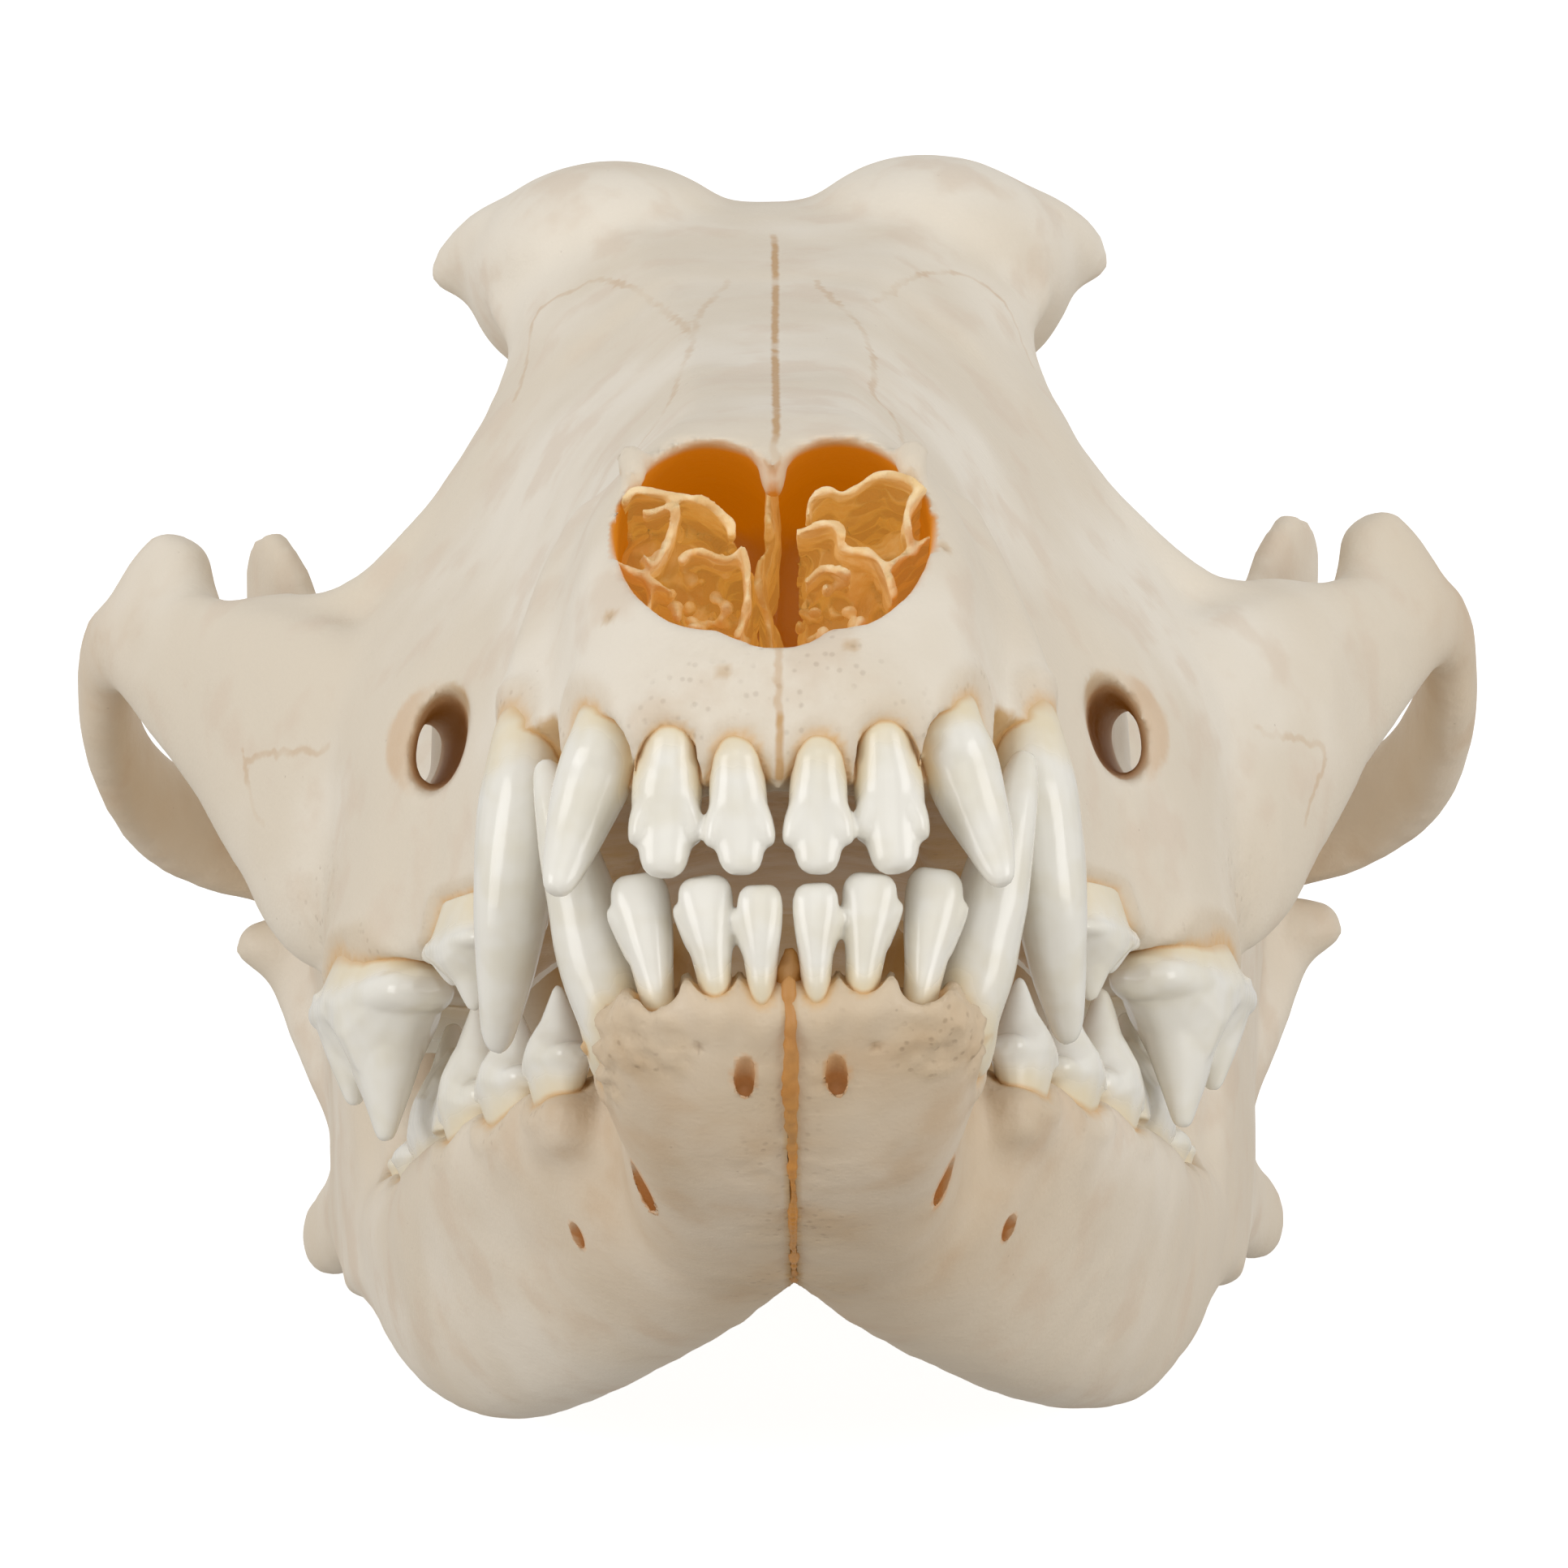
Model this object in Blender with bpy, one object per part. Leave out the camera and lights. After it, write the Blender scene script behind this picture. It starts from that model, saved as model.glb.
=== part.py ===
"""A life-size dog skull at rest on its lower jaws, mouth a little open, as six bones that meet at thin seams.

Rows of sizes are in millimetres in the skull's own frame and MM turns them into metres. In that frame X runs
to the animal's left, Y runs from the front teeth to the back of the head, and Z runs up from the palate.
The whole skull is then pitched nose-up until the lower borders and heels of the jaws lie on the ground.
"""

import math

import bmesh
import bpy
import numpy as np
from mathutils import Matrix, Vector

MM = 0.001

# Driving dimensions, in millimetres unless the name says otherwise.
PITCH_DEG = 16.0
JAW_SHIFT = 0.5
SEAM = 0.3
VOXEL = 0.9
SMOOTH_STEPS = 6
FLAT_DEPTH = 0.3
CRANIUM_TRIANGLES = 7000
JAW_TRIANGLES = 1500
SHARP_EDGE_DEG = 50.0
BONE_COLOUR = (0.80, 0.74, 0.63, 1.0)

# Lines of the head. Each row is y, low z, high z and then six half widths, at these shares of the height.
LEVELS = (0.0, 0.2, 0.42, 0.64, 0.84, 1.0)
FACE = [
    (1.0, -2.4, 4.6, 7.6, 8.4, 8.8, 8.4, 7.0, 4.0),
    (4.5, -2.8, 9.5, 12.2, 12.8, 12.7, 11.8, 10.4, 7.5),
    (10.0, -3.0, 16.5, 14.4, 14.6, 14.0, 13.2, 12.0, 9.0),
    (16.0, -3.2, 21.8, 17.6, 17.0, 15.3, 13.9, 12.0, 8.0),
    (22.0, -3.5, 25.4, 19.2, 18.6, 16.8, 14.3, 11.4, 6.5),
    (32.0, -4.1, 28.9, 18.2, 18.0, 16.7, 14.2, 10.8, 5.5),
    (46.0, -5.0, 34.0, 20.6, 20.0, 18.4, 15.4, 11.6, 5.5),
    (57.0, -5.8, 38.2, 25.4, 24.4, 22.2, 17.6, 13.2, 6.0),
    (67.0, -6.4, 42.3, 31.4, 29.8, 27.8, 20.6, 15.0, 6.6),
    (77.0, -6.7, 46.4, 34.0, 33.0, 31.6, 23.6, 16.6, 7.5),
    (85.0, -6.4, 49.8, 33.2, 34.2, 33.6, 26.2, 18.8, 8.8),
    (91.0, -4.6, 52.5, 30.0, 33.5, 34.2, 26.2, 19.4, 10.3),
    (96.0, -2.4, 54.8, 24.0, 30.0, 33.0, 24.8, 19.6, 11.6),
    (101.0, 1.0, 56.6, 16.0, 20.0, 24.0, 22.4, 19.6, 12.6),
]
HEAD = [
    (80.0, 10.0, 48.0, 13.0, 15.0, 16.0, 16.5, 15.5, 8.0),
    (90.0, 11.0, 52.6, 13.0, 15.0, 16.0, 17.5, 18.2, 10.0),
    (98.0, 12.5, 56.4, 13.0, 14.5, 15.0, 17.5, 19.6, 12.5),
    (106.0, 13.5, 59.4, 13.0, 14.5, 15.0, 17.5, 20.8, 13.0),
    (112.0, 14.0, 60.6, 14.0, 15.5, 15.5, 17.2, 20.6, 13.0),
    (119.0, 14.0, 60.8, 16.0, 17.5, 17.5, 18.0, 18.5, 11.5),
    (127.0, 13.0, 60.6, 19.5, 21.5, 21.5, 20.5, 16.5, 8.5),
    (136.0, 11.5, 59.6, 23.5, 25.6, 25.2, 22.5, 16.5, 6.0),
    (147.0, 10.0, 59.0, 26.0, 28.2, 27.6, 24.2, 17.2, 6.0),
    (158.0, 8.5, 58.5, 26.0, 28.8, 28.0, 24.5, 17.5, 6.0),
    (169.0, 7.5, 57.0, 24.0, 28.5, 28.0, 24.0, 17.0, 6.0),
    (180.0, 7.0, 53.0, 20.0, 25.5, 25.0, 21.5, 15.0, 6.0),
    (188.0, 8.5, 45.0, 13.0, 18.0, 18.0, 15.5, 11.0, 5.0),
]
# The back wall, from the level of the knuckles up. Each row is z, front x, front y, back x, back y, half width.
OCCIPUT = [
    (8.0, 0.0, 166.0, 0.0, 184.0, 27.0),
    (14.0, 0.0, 166.0, 0.0, 187.5, 29.5),
    (22.0, 0.0, 167.0, 0.0, 189.5, 30.5),
    (32.0, 0.0, 168.0, 0.0, 190.0, 28.5),
    (42.0, 0.0, 170.0, 0.0, 192.0, 23.0),
    (50.0, 0.0, 174.0, 0.0, 195.5, 14.5),
    (56.0, 0.0, 179.0, 0.0, 198.5, 5.5),
]
# Ellipsoids: centre and radii.
BROW = ((12.4, 112.0, 54.7), (11.6, 17.0, 8.8))
MASTOID = ((26.5, 174.0, 19.0), (7.0, 10.0, 12.0))
EAR_BULLA = ((16.2, 162.0, 4.8), (9.3, 12.5, 9.0))
NECK_KNUCKLE = ((9.3, 189.0, 12.5), (5.6, 6.6, 7.6))
# Bars along a path. Each row is x, y, z, half size across and half size along up.
BROW_HORN = [
    (13.0, 108.0, 57.2, 9.0, 4.4),
    (19.5, 111.5, 57.4, 6.5, 3.6),
    (23.8, 114.0, 56.5, 3.6, 2.5),
    (26.2, 115.5, 55.2, 1.5, 1.1),
]
ORBIT_RIM = [
    (20.4, 104.5, 51.5, 1.8, 1.8),
    (18.2, 98.0, 46.5, 2.0, 2.0),
    (18.6, 92.5, 41.0, 2.2, 2.2),
    (21.6, 89.5, 35.0, 2.4, 2.4),
    (26.0, 88.8, 29.4, 2.4, 2.4),
    (32.5, 91.2, 24.6, 2.4, 2.4),
    (39.5, 98.5, 25.2, 2.4, 2.4),
]
CHEEK_ARCH = [
    (27.0, 80.0, 7.0, 4.6, 11.0),
    (31.6, 84.6, 8.4, 4.6, 12.6),
    (35.4, 89.4, 12.8, 4.2, 11.4),
    (38.9, 94.2, 16.4, 3.8, 9.8),
    (42.6, 100.0, 20.0, 3.3, 7.7),
    (46.6, 106.0, 23.6, 2.9, 5.9),
    (50.2, 112.0, 26.4, 2.6, 4.3),
    (52.6, 118.5, 26.4, 2.3, 3.7),
    (53.4, 126.0, 23.4, 2.3, 4.6),
    (52.2, 135.0, 19.5, 2.3, 4.7),
    (49.2, 142.0, 17.0, 2.5, 4.5),
    (43.5, 147.0, 15.1, 2.8, 4.3),
    (36.0, 149.5, 14.6, 3.0, 4.2),
]
CHEEK_HORN = [
    (47.8, 109.5, 26.0, 3.0, 9.0),
    (47.0, 108.5, 30.4, 2.5, 6.0),
    (46.0, 107.4, 33.8, 1.8, 2.6),
]
CHEEK_HORN_LIE = (0.58, 0.81, 0.0)
JAW_SOCKET_ROOT = [
    (22.0, 147.0, 17.5, 8.0, 5.0),
    (31.0, 149.0, 15.4, 6.5, 3.8),
    (41.0, 148.5, 14.6, 5.0, 3.0),
]
JAW_SOCKET_STOP = [
    (34.0, 153.8, 14.0, 5.5, 2.4),
    (34.0, 155.4, 8.0, 4.6, 2.0),
    (33.8, 155.6, 2.8, 2.8, 1.5),
]
TEMPLE_LINE = [
    (23.0, 115.0, 56.2, 2.4, 2.0),
    (15.0, 121.5, 58.8, 2.6, 2.2),
    (6.0, 129.0, 60.0, 2.4, 2.2),
    (0.5, 139.0, 60.3, 1.8, 2.2),
]
TOP_CREST = [
    (0.0, 132.0, 58.5, 1.3, 3.0),
    (0.0, 150.0, 59.0, 1.3, 3.6),
    (0.0, 168.0, 59.0, 1.4, 4.0),
    (0.0, 184.0, 58.0, 1.6, 4.0),
    (0.0, 198.0, 56.5, 2.2, 3.4),
]
NAPE_CREST = [
    (31.5, 174.0, 13.0, 2.8, 2.8),
    (32.0, 179.0, 22.0, 2.6, 2.6),
    (29.5, 184.0, 32.0, 2.4, 2.4),
    (23.5, 189.0, 42.0, 2.2, 2.2),
    (14.0, 194.0, 51.0, 2.2, 2.2),
    (5.0, 197.5, 56.0, 2.4, 2.4),
    (-2.0, 198.5, 57.0, 2.6, 2.6),
]
NECK_PROCESS = [
    (23.5, 180.0, 12.0, 4.0, 3.2),
    (24.6, 182.0, 4.0, 2.6, 2.2),
    (25.0, 183.0, -2.5, 1.5, 1.3),
]
THROAT_PLATE = [
    (10.8, 90.0, 8.5, 1.7, 7.5),
    (11.0, 104.0, 10.0, 1.7, 7.5),
    (10.5, 117.0, 12.5, 1.6, 6.5),
    (9.8, 130.0, 14.0, 1.6, 5.0),
]
THROAT_HOOK = [
    (9.8, 129.0, 12.0, 2.4, 1.5),
    (9.9, 132.0, 8.0, 1.8, 1.3),
    (10.2, 134.5, 5.0, 1.2, 1.1),
]
CANINE_SWELLING = [
    (16.7, 17.4, 0.0, 2.9, 4.4),
    (16.2, 21.6, 6.0, 2.9, 4.0),
    (14.4, 27.6, 14.0, 2.6, 3.6),
    (12.0, 34.0, 20.5, 2.4, 2.8),
]

# Hollows of the upper skull, as bars or, for those across the midline, as trunk rows.
NOSE_HOLE = [
    (4.5, -6.0, 15.6, 6.1, 7.9),
    (4.5, 24.0, 15.6, 6.1, 7.9),
    (4.5, 50.0, 17.8, 5.6, 8.4),
    (4.5, 58.0, 18.5, 4.0, 7.0),
]
NOSE_FLOOR = [
    (0.0, -6.0, 12.2, 5.2, 6.0),
    (0.0, 24.0, 12.2, 5.2, 6.0),
    (0.0, 54.0, 14.5, 4.8, 5.4),
]
PALATE_HOLLOW = [
    (6.0, 4.0, 3.5, -12.0, -1.0, 2.6),
    (14.0, 10.5, 7.5, -12.0, 0.4, 2.6),
    (30.0, 12.0, 9.0, -13.0, 0.8, 2.6),
    (46.0, 14.0, 10.5, -14.0, 0.6, 2.6),
    (60.0, 18.0, 13.5, -15.0, 0.6, 2.6),
    (76.0, 22.5, 17.0, -16.0, 1.0, 2.6),
    (90.0, 22.5, 17.5, -16.0, 2.0, 2.6),
    (110.0, 22.0, 17.0, -16.0, 3.0, 2.6),
]
ORBIT_HOLLOW = ((31.5, 107.5, 30.0), (16.5, 18.0, 21.0))
TOOTH_GAP = ((17.8, 12.2, -1.2), (5.6, 3.9, 5.0))
CHEEK_HOLE = [
    (24.25, 46.0, 8.2, 2.2, 4.3),
    (24.45, 57.0, 9.4, 2.2, 4.3),
    (25.05, 74.0, 11.4, 1.8, 3.0),
    (27.65, 98.0, 14.4, 1.8, 3.0),
]
CHEEK_HOLE_LIE = (-0.27, 0.0, 1.0)
THROAT_HOLE = [
    (80.0, 7.5, 7.5, 5.0, 12.5, 2.6),
    (100.0, 8.2, 8.2, 4.0, 13.0, 2.6),
    (124.0, 7.6, 7.6, -6.0, 13.0, 2.6),
    (140.0, 6.0, 6.0, -6.0, 10.0, 2.6),
]
NECK_HOLE = [
    (0.0, 205.0, 22.5, 8.6, 7.6),
    (0.0, 190.0, 21.5, 8.6, 7.6),
    (0.0, 174.0, 21.5, 6.5, 6.0),
]
EAR_HOLE = [
    (38.0, 164.0, 12.0, 3.2, 3.2),
    (20.0, 164.0, 10.0, 2.8, 2.8),
]

# The lower jaw, left half. Each bar row is y, x of the lower edge, x of the tooth edge, half thickness, low z
# and high z. Near the front the bar crosses the midline, where the two halves are cut flat.
JAW_BAR = [
    (4.2, 2.0, 3.4, 7.2, -18.0, -15.2),
    (8.5, 2.4, 5.2, 8.6, -22.6, -15.4),
    (15.0, 2.6, 4.8, 8.7, -26.8, -15.8),
    (23.0, 2.4, 4.4, 8.3, -30.0, -16.4),
    (32.0, 3.0, 5.2, 7.6, -32.4, -16.8),
    (36.5, 3.4, 7.2, 7.0, -33.2, -17.0),
    (42.0, 4.8, 14.0, 6.6, -34.0, -17.3),
    (52.0, 8.4, 19.0, 6.0, -35.9, -17.7),
    (63.0, 13.6, 22.2, 5.8, -37.4, -18.0),
    (76.0, 18.6, 25.0, 5.8, -37.8, -18.2),
    (88.0, 22.2, 26.2, 5.6, -36.9, -18.0),
    (100.0, 24.8, 28.6, 5.2, -34.2, -17.0),
    (110.0, 27.3, 30.2, 4.6, -30.4, -16.0),
    (120.0, 30.0, 31.6, 3.9, -26.0, -13.0),
    (132.0, 32.6, 33.0, 3.2, -22.0, -10.0),
    (142.0, 34.6, 34.6, 2.7, -19.6, -10.0),
]
# The standing blade of the jaw: z, front x, front y, back x, back y and half thickness.
JAW_BLADE = [
    (-24.0, 29.6, 104.0, 32.6, 128.0, 3.4),
    (-16.0, 31.2, 104.5, 35.0, 147.0, 3.0),
    (-8.0, 32.2, 106.5, 35.6, 149.0, 2.6),
    (0.0, 32.8, 109.0, 36.4, 149.0, 2.4),
    (8.0, 33.4, 112.0, 37.8, 146.0, 2.2),
    (15.0, 34.2, 114.5, 39.4, 142.0, 2.0),
    (22.0, 35.4, 117.0, 41.0, 140.5, 1.9),
    (29.0, 36.8, 119.8, 42.2, 139.5, 1.8),
    (34.5, 38.6, 123.2, 42.6, 137.6, 1.6),
    (38.2, 40.4, 127.5, 42.4, 134.0, 1.3),
]
BLADE_EDGE = [
    (28.0, 103.0, -16.0, 3.2, 3.2),
    (29.6, 107.5, -5.0, 2.9, 2.9),
    (31.4, 112.0, 7.0, 2.6, 2.6),
    (33.6, 116.5, 19.0, 2.3, 2.3),
    (36.4, 121.0, 30.0, 1.9, 1.9),
]
JAW_KNUCKLE = [
    (24.5, 149.8, 6.6, 2.0, 1.8),
    (30.0, 149.2, 6.8, 3.4, 3.1),
    (37.0, 148.2, 6.9, 3.8, 3.5),
    (42.0, 147.2, 7.2, 3.2, 2.6),
    (45.0, 146.7, 7.6, 1.6, 1.4),
]
KNUCKLE_NECK = [
    (34.2, 141.0, -7.0, 3.0, 3.4),
    (35.4, 145.0, -1.5, 4.2, 4.6),
    (36.0, 148.0, 5.0, 4.4, 6.4),
]
JAW_HEEL = [
    (33.8, 134.0, -15.0, 2.6, 4.8),
    (35.8, 145.0, -15.4, 2.6, 4.4),
    (37.6, 152.5, -15.8, 2.4, 3.6),
    (38.8, 157.5, -15.2, 1.6, 2.4),
]
CHIN_HOLES = (
    [(3.0, 6.0, -21.6, 0.7, 1.0), (3.2, 17.0, -23.6, 0.7, 0.9)],
    [(12.0, 20.0, -26.6, 1.1, 1.6), (7.6, 34.0, -28.0, 1.0, 1.4)],
    [(17.4, 41.0, -28.0, 1.0, 1.2), (11.4, 50.0, -28.6, 0.9, 1.1)],
)

# Teeth, left side. A peg row is neck point, tip point, half width, half depth and how far its middle bows back.
ROOT_DEPTH = 2.6
ROOT_LEAN = 3.4
ROOT_SHARE = 0.65
UPPER_PEGS = {
    "incisor_1": ((2.7, 2.3, 0.0), (2.4, 1.8, -9.0), 1.8, 2.2, 0.3),
    "incisor_2": ((7.1, 3.7, 0.4), (7.7, 2.8, -8.9), 2.1, 2.6, 0.4),
    "incisor_3": ((11.4, 6.4, 1.0), (14.9, 5.2, -9.6), 2.6, 3.0, 0.6),
    "canine": ((16.9, 18.9, 1.2), (19.4, 23.3, -17.6), 3.1, 4.7, -2.2),
}
LOWER_PEGS = {
    "incisor_1": ((1.8, 6.0, -16.2), (1.85, 2.8, -9.6), 1.45, 1.9, -0.2),
    "incisor_2": ((4.9, 6.8, -16.0), (5.6, 4.0, -8.8), 1.8, 2.2, -0.2),
    "incisor_3": ((8.7, 8.9, -16.4), (9.9, 6.8, -8.2), 2.05, 2.5, -0.2),
    "canine": ((11.8, 14.6, -16.8), (16.2, 12.2, 0.4), 2.7, 3.5, -1.2),
}
LOBED = ("incisor_1", "incisor_2")
# Ends of a side lobe: share of the crown's height, then of its half width aside, half width and half depth.
LOBE_LEVELS = ((0.25, 0.0, 0.5, 0.6), (0.68, 0.86, 0.32, 0.36))
# Shares of a peg's half width and half depth along its crown, for cutting teeth and for the eye teeth.
SPADE = ((0.0, 0.86, 0.92), (0.4, 1.0, 0.9), (0.8, 0.84, 0.52), (1.0, 0.4, 0.2))
SPIKE = ((0.0, 0.96, 1.0), (0.25, 1.0, 0.94), (0.55, 0.84, 0.74), (0.85, 0.52, 0.42), (1.0, 0.14, 0.12))
# A blade tooth's row is centre x, y, neck z, heading from straight back, half length, half width and its cusps,
# each a place along the tooth from -1 to 1 and a height. Heights go down from the palate and up from the jaw.
UPPER_BLADES = {
    "premolar_1": (16.9, 31.5, -3.8, 8, 3.0, 1.8, ((-1, 1.4), (-0.2, 4.2), (1, 1.2))),
    "premolar_2": (18.6, 41.5, -4.6, 13, 5.2, 2.2, ((-1, 1.6), (-0.2, 5.6), (0.6, 2.6), (1, 1.4))),
    "premolar_3": (22.2, 53.5, -5.4, 22, 6.0, 2.5, ((-1, 1.6), (-0.1, 5.6), (0.6, 3.2), (1, 1.6))),
    "premolar_4": (29.4, 70.6, -6.0, 23, 9.4, 3.6, ((-1, 3.4), (-0.1, 12.2), (0.3, 6.8), (0.6, 8.8), (1, 4.0))),
}
LOWER_BLADES = {
    "premolar_1": (10.6, 28.6, -16.6, 16, 2.3, 1.6, ((-1, 1.0), (0, 3.2), (1, 1.0))),
    "premolar_2": (16.3, 40.4, -17.2, 20, 4.5, 2.1, ((-1, 1.4), (-0.1, 6.2), (0.6, 2.4), (1, 1.4))),
    "premolar_3": (19.7, 50.8, -17.6, 17, 5.2, 2.4, ((-1, 1.4), (-0.1, 6.6), (0.6, 3.0), (1, 1.4))),
    "premolar_4": (22.6, 62.2, -17.8, 14, 5.8, 2.7, ((-1, 1.6), (-0.05, 8.8), (0.55, 4.8), (1, 2.0))),
    "molar_1": (24.8, 77.4, -18.0, 10, 10.4, 3.2, ((-1, 3.0), (-0.7, 7.0), (0.05, 9.4), (0.4, 4.0), (1, 3.2))),
    "molar_2": (27.0, 92.4, -17.6, 12, 4.2, 3.0, ((-1, 2.2), (-0.4, 3.8), (0.3, 3.2), (1, 1.8))),
    "molar_3": (28.6, 99.0, -17.0, 10, 2.3, 2.1, ((-1, 1.4), (0, 2.2), (1, 1.2))),
}
# A grinding tooth's row is centre x, y, neck z, half size across, half size along, cheek cusp and tongue cusp.
UPPER_GRINDERS = {
    "molar_1": (27.4, 86.2, -5.2, 7.0, 5.6, 6.4, 3.8),
    "molar_2": (25.6, 94.6, -3.4, 4.8, 3.0, 4.2, 2.8),
}
PEG_SIDES = 7
BLADE_SIDES = 10
# Rings of a blade tooth: share of the root's depth, of its length, of its width and of its cusps' height.
BLADE_LEVELS = ((1.0, 0.7, 0.55, 0.0), (0.0, 0.94, 0.88, 0.0), (0.0, 1.0, 0.96, 0.35), (0.0, 0.88, 0.18, 1.0))
# Rings of a grinding tooth: share of the root's depth, of its size and of its rim's height.
GRINDER_LEVELS = ((1.0, 0.7, 0.0), (0.0, 0.96, 0.0), (0.0, 0.82, 1.0), (0.0, 0.4, 0.45))
CUSP_DIP = 0.8
TONGUE_TAPER = 0.25

# Seams. Each is a thin slab: centre, the direction it faces, half width and half height.
FACE_SEAM = ((0.0, 97.0, 26.0), (0.0, 0.97, 0.24), 25.0, 70.0)
ARCH_FRONT_SEAM = ((38.2, 95.6, 15.5), (0.62, 0.74, 0.26), 9.0, 16.0)
ARCH_BACK_SEAM = ((39.5, 148.5, 14.8), (0.94, -0.34, 0.0), 9.0, 8.0)
# A place on each bone of the upper skull.
BONE_PLACES = {
    "muzzle": (0.0, 60.0, 38.0),
    "braincase": (0.0, 150.0, 60.0),
    "zygomatic_arch_left": (55.0, 126.0, 23.0),
    "zygomatic_arch_right": (-55.0, 126.0, 23.0),
}
# Room for the blocks that cut the jaw's midline flat and file the flats it rests on, low and high corners.
MIDLINE_BLOCK = ((-30.0, -10.0, -60.0), (SEAM / 2, 60.0, 0.0))
GROUND_BLOCK = ((-80.0, -150.0, -20.0), (80.0, 150.0, 0.0))


def resample(rows, steps):
    """Rows with smooth (Catmull-Rom) rows added between them, steps to each gap."""
    rows = np.array(rows, float)
    ends = np.vstack([2 * rows[0] - rows[1], rows, 2 * rows[-1] - rows[-2]])
    out = []
    for i in range(len(rows) - 1):
        before, start, stop, after = ends[i : i + 4]
        for k in range(steps):
            t = k / steps
            rise = stop - before
            curve = 2 * before - 5 * start + 4 * stop - after
            twist = 3 * start - before - 3 * stop + after
            out.append(0.5 * (2 * start + rise * t + curve * t * t + twist * t**3))
    out.append(rows[-1])
    return np.array(out)


def rounded(power, sides):
    """Points of a unit super-ellipse: power 2 is a circle, and a higher power is squarer."""
    angle = np.arange(sides) * 2 * math.pi / sides
    c, s = np.cos(angle), np.sin(angle)
    return np.sign(c) * np.abs(c) ** (2 / power), np.sign(s) * np.abs(s) ** (2 / power)


def closed_mesh(rings):
    """Points and faces of a closed tube through rings of points, with its two ends filled."""
    sides = len(rings[0])
    points = np.concatenate(rings)
    faces = [tuple(range(sides)), tuple(range(len(points) - 1, len(points) - sides - 1, -1))]
    for r in range(len(rings) - 1):
        for k in range(sides):
            a, b = r * sides + k, r * sides + (k + 1) % sides
            faces.append((a, a + sides, b + sides, b))
    return points, faces


def lined_trunk(rows, steps=3, profile_steps=4):
    """A mass across the midline: at each y a profile through half widths at the set levels, and its mirror."""
    rings = []
    for y, low, high, *widths in resample(rows, steps):
        heights = low + (high - low) * np.array(LEVELS)
        side = resample(np.stack([widths, heights], axis=1), profile_steps)
        right = np.stack([side[:, 0], np.full(len(side), y), side[:, 1]], axis=1)
        left = right[::-1] * (-1, 1, 1)
        rings.append(np.concatenate([right, left]))
    return closed_mesh(rings)


def trunk(rows, steps=3, sides=28):
    """A rounded mass across the midline, from rows of y, low and high half width, low and high z, squareness."""
    rings = []
    for y, wide_low, wide_high, low, high, power in resample(rows, steps):
        c, s = rounded(power, sides)
        share = (s + 1) / 2
        x = c * (wide_low + (wide_high - wide_low) * share)
        rings.append(np.stack([x, np.full(sides, y), low + (high - low) * share], axis=1))
    return closed_mesh(rings)


def limb(rows, up=(0, 0, 1), steps=4, sides=12, power=2.2):
    """A bar along a smooth path, from rows of x, y, z, half size across and half size along up."""
    rows = resample(rows, steps)
    path = rows[:, :3]
    ahead = np.gradient(path, axis=0)
    ahead /= np.linalg.norm(ahead, axis=1)[:, None]
    across = np.cross(ahead, up)
    across /= np.linalg.norm(across, axis=1)[:, None]
    rise = np.cross(across, ahead)
    c, s = rounded(power, sides)
    rings = [
        path[i] + c[:, None] * across[i] * rows[i, 3] + s[:, None] * rise[i] * rows[i, 4]
        for i in range(len(rows))
    ]
    return closed_mesh(rings)


def jaw_bar(rows, steps=3, sides=20, power=2.6):
    """The body of a jaw, from rows of y, x low, x high, half thickness, low z and high z."""
    rings = []
    for y, x_low, x_high, thick, low, high in resample(rows, steps):
        c, s = rounded(power, sides)
        share = (s + 1) / 2
        x = x_low + (x_high - x_low) * share + c * thick
        rings.append(np.stack([x, np.full(sides, y), low + (high - low) * share], axis=1))
    return closed_mesh(rings)


def upright_plate(rows, steps=3, sides=20, power=2.8):
    """A standing blade or wall, from rows of z, front x, front y, back x, back y and half thickness."""
    rings = []
    for z, front_x, front_y, back_x, back_y, thick in resample(rows, steps):
        c, s = rounded(power, sides)
        share = (c + 1) / 2
        x = front_x + (back_x - front_x) * share + s * thick
        rings.append(np.stack([x, front_y + (back_y - front_y) * share, np.full(sides, z)], axis=1))
    return closed_mesh(rings)


def ball(centre, radii, rings=12, sides=20):
    """An ellipsoid."""
    turn = np.arange(sides) * 2 * math.pi / sides
    stack = []
    for k in range(rings):
        angle = math.pi * (k + 0.5) / rings
        wide = math.sin(angle)
        unit = np.stack([wide * np.cos(turn), wide * np.sin(turn), np.full(sides, math.cos(angle))], axis=1)
        stack.append(np.array(centre) + unit * np.array(radii))
    return closed_mesh(stack)


def block(low, high):
    """A box between two corners."""
    (x0, y0, z0), (x1, y1, z1) = low, high
    corners = [(x0, y0), (x1, y0), (x1, y1), (x0, y1)]
    return closed_mesh([np.array([(x, y, z) for x, y in corners], float) for z in (z0, z1)])


def slab(centre, facing, half_width, half_height):
    """A thin upright plate, as thick as a seam, that faces a direction."""
    normal = np.array(facing, float)
    normal /= np.linalg.norm(normal)
    wide = np.cross(normal, (0, 0, 1))
    wide *= half_width / np.linalg.norm(wide)
    tall = np.cross(wide, normal)
    tall *= half_height / np.linalg.norm(tall)
    outline = np.array([centre - wide - tall, centre + wide - tall, centre + wide + tall, centre - wide + tall])
    return closed_mesh([outline + normal * push for push in (-SEAM / 2, SEAM / 2)])


def mirrored(piece):
    """The same piece on the other side of the midline."""
    points, faces = piece
    return points * (-1, 1, 1), faces


def both_sides(*pieces):
    """Each piece and its mirror image."""
    return [side for piece in pieces for side in (piece, mirrored(piece))]


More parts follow.
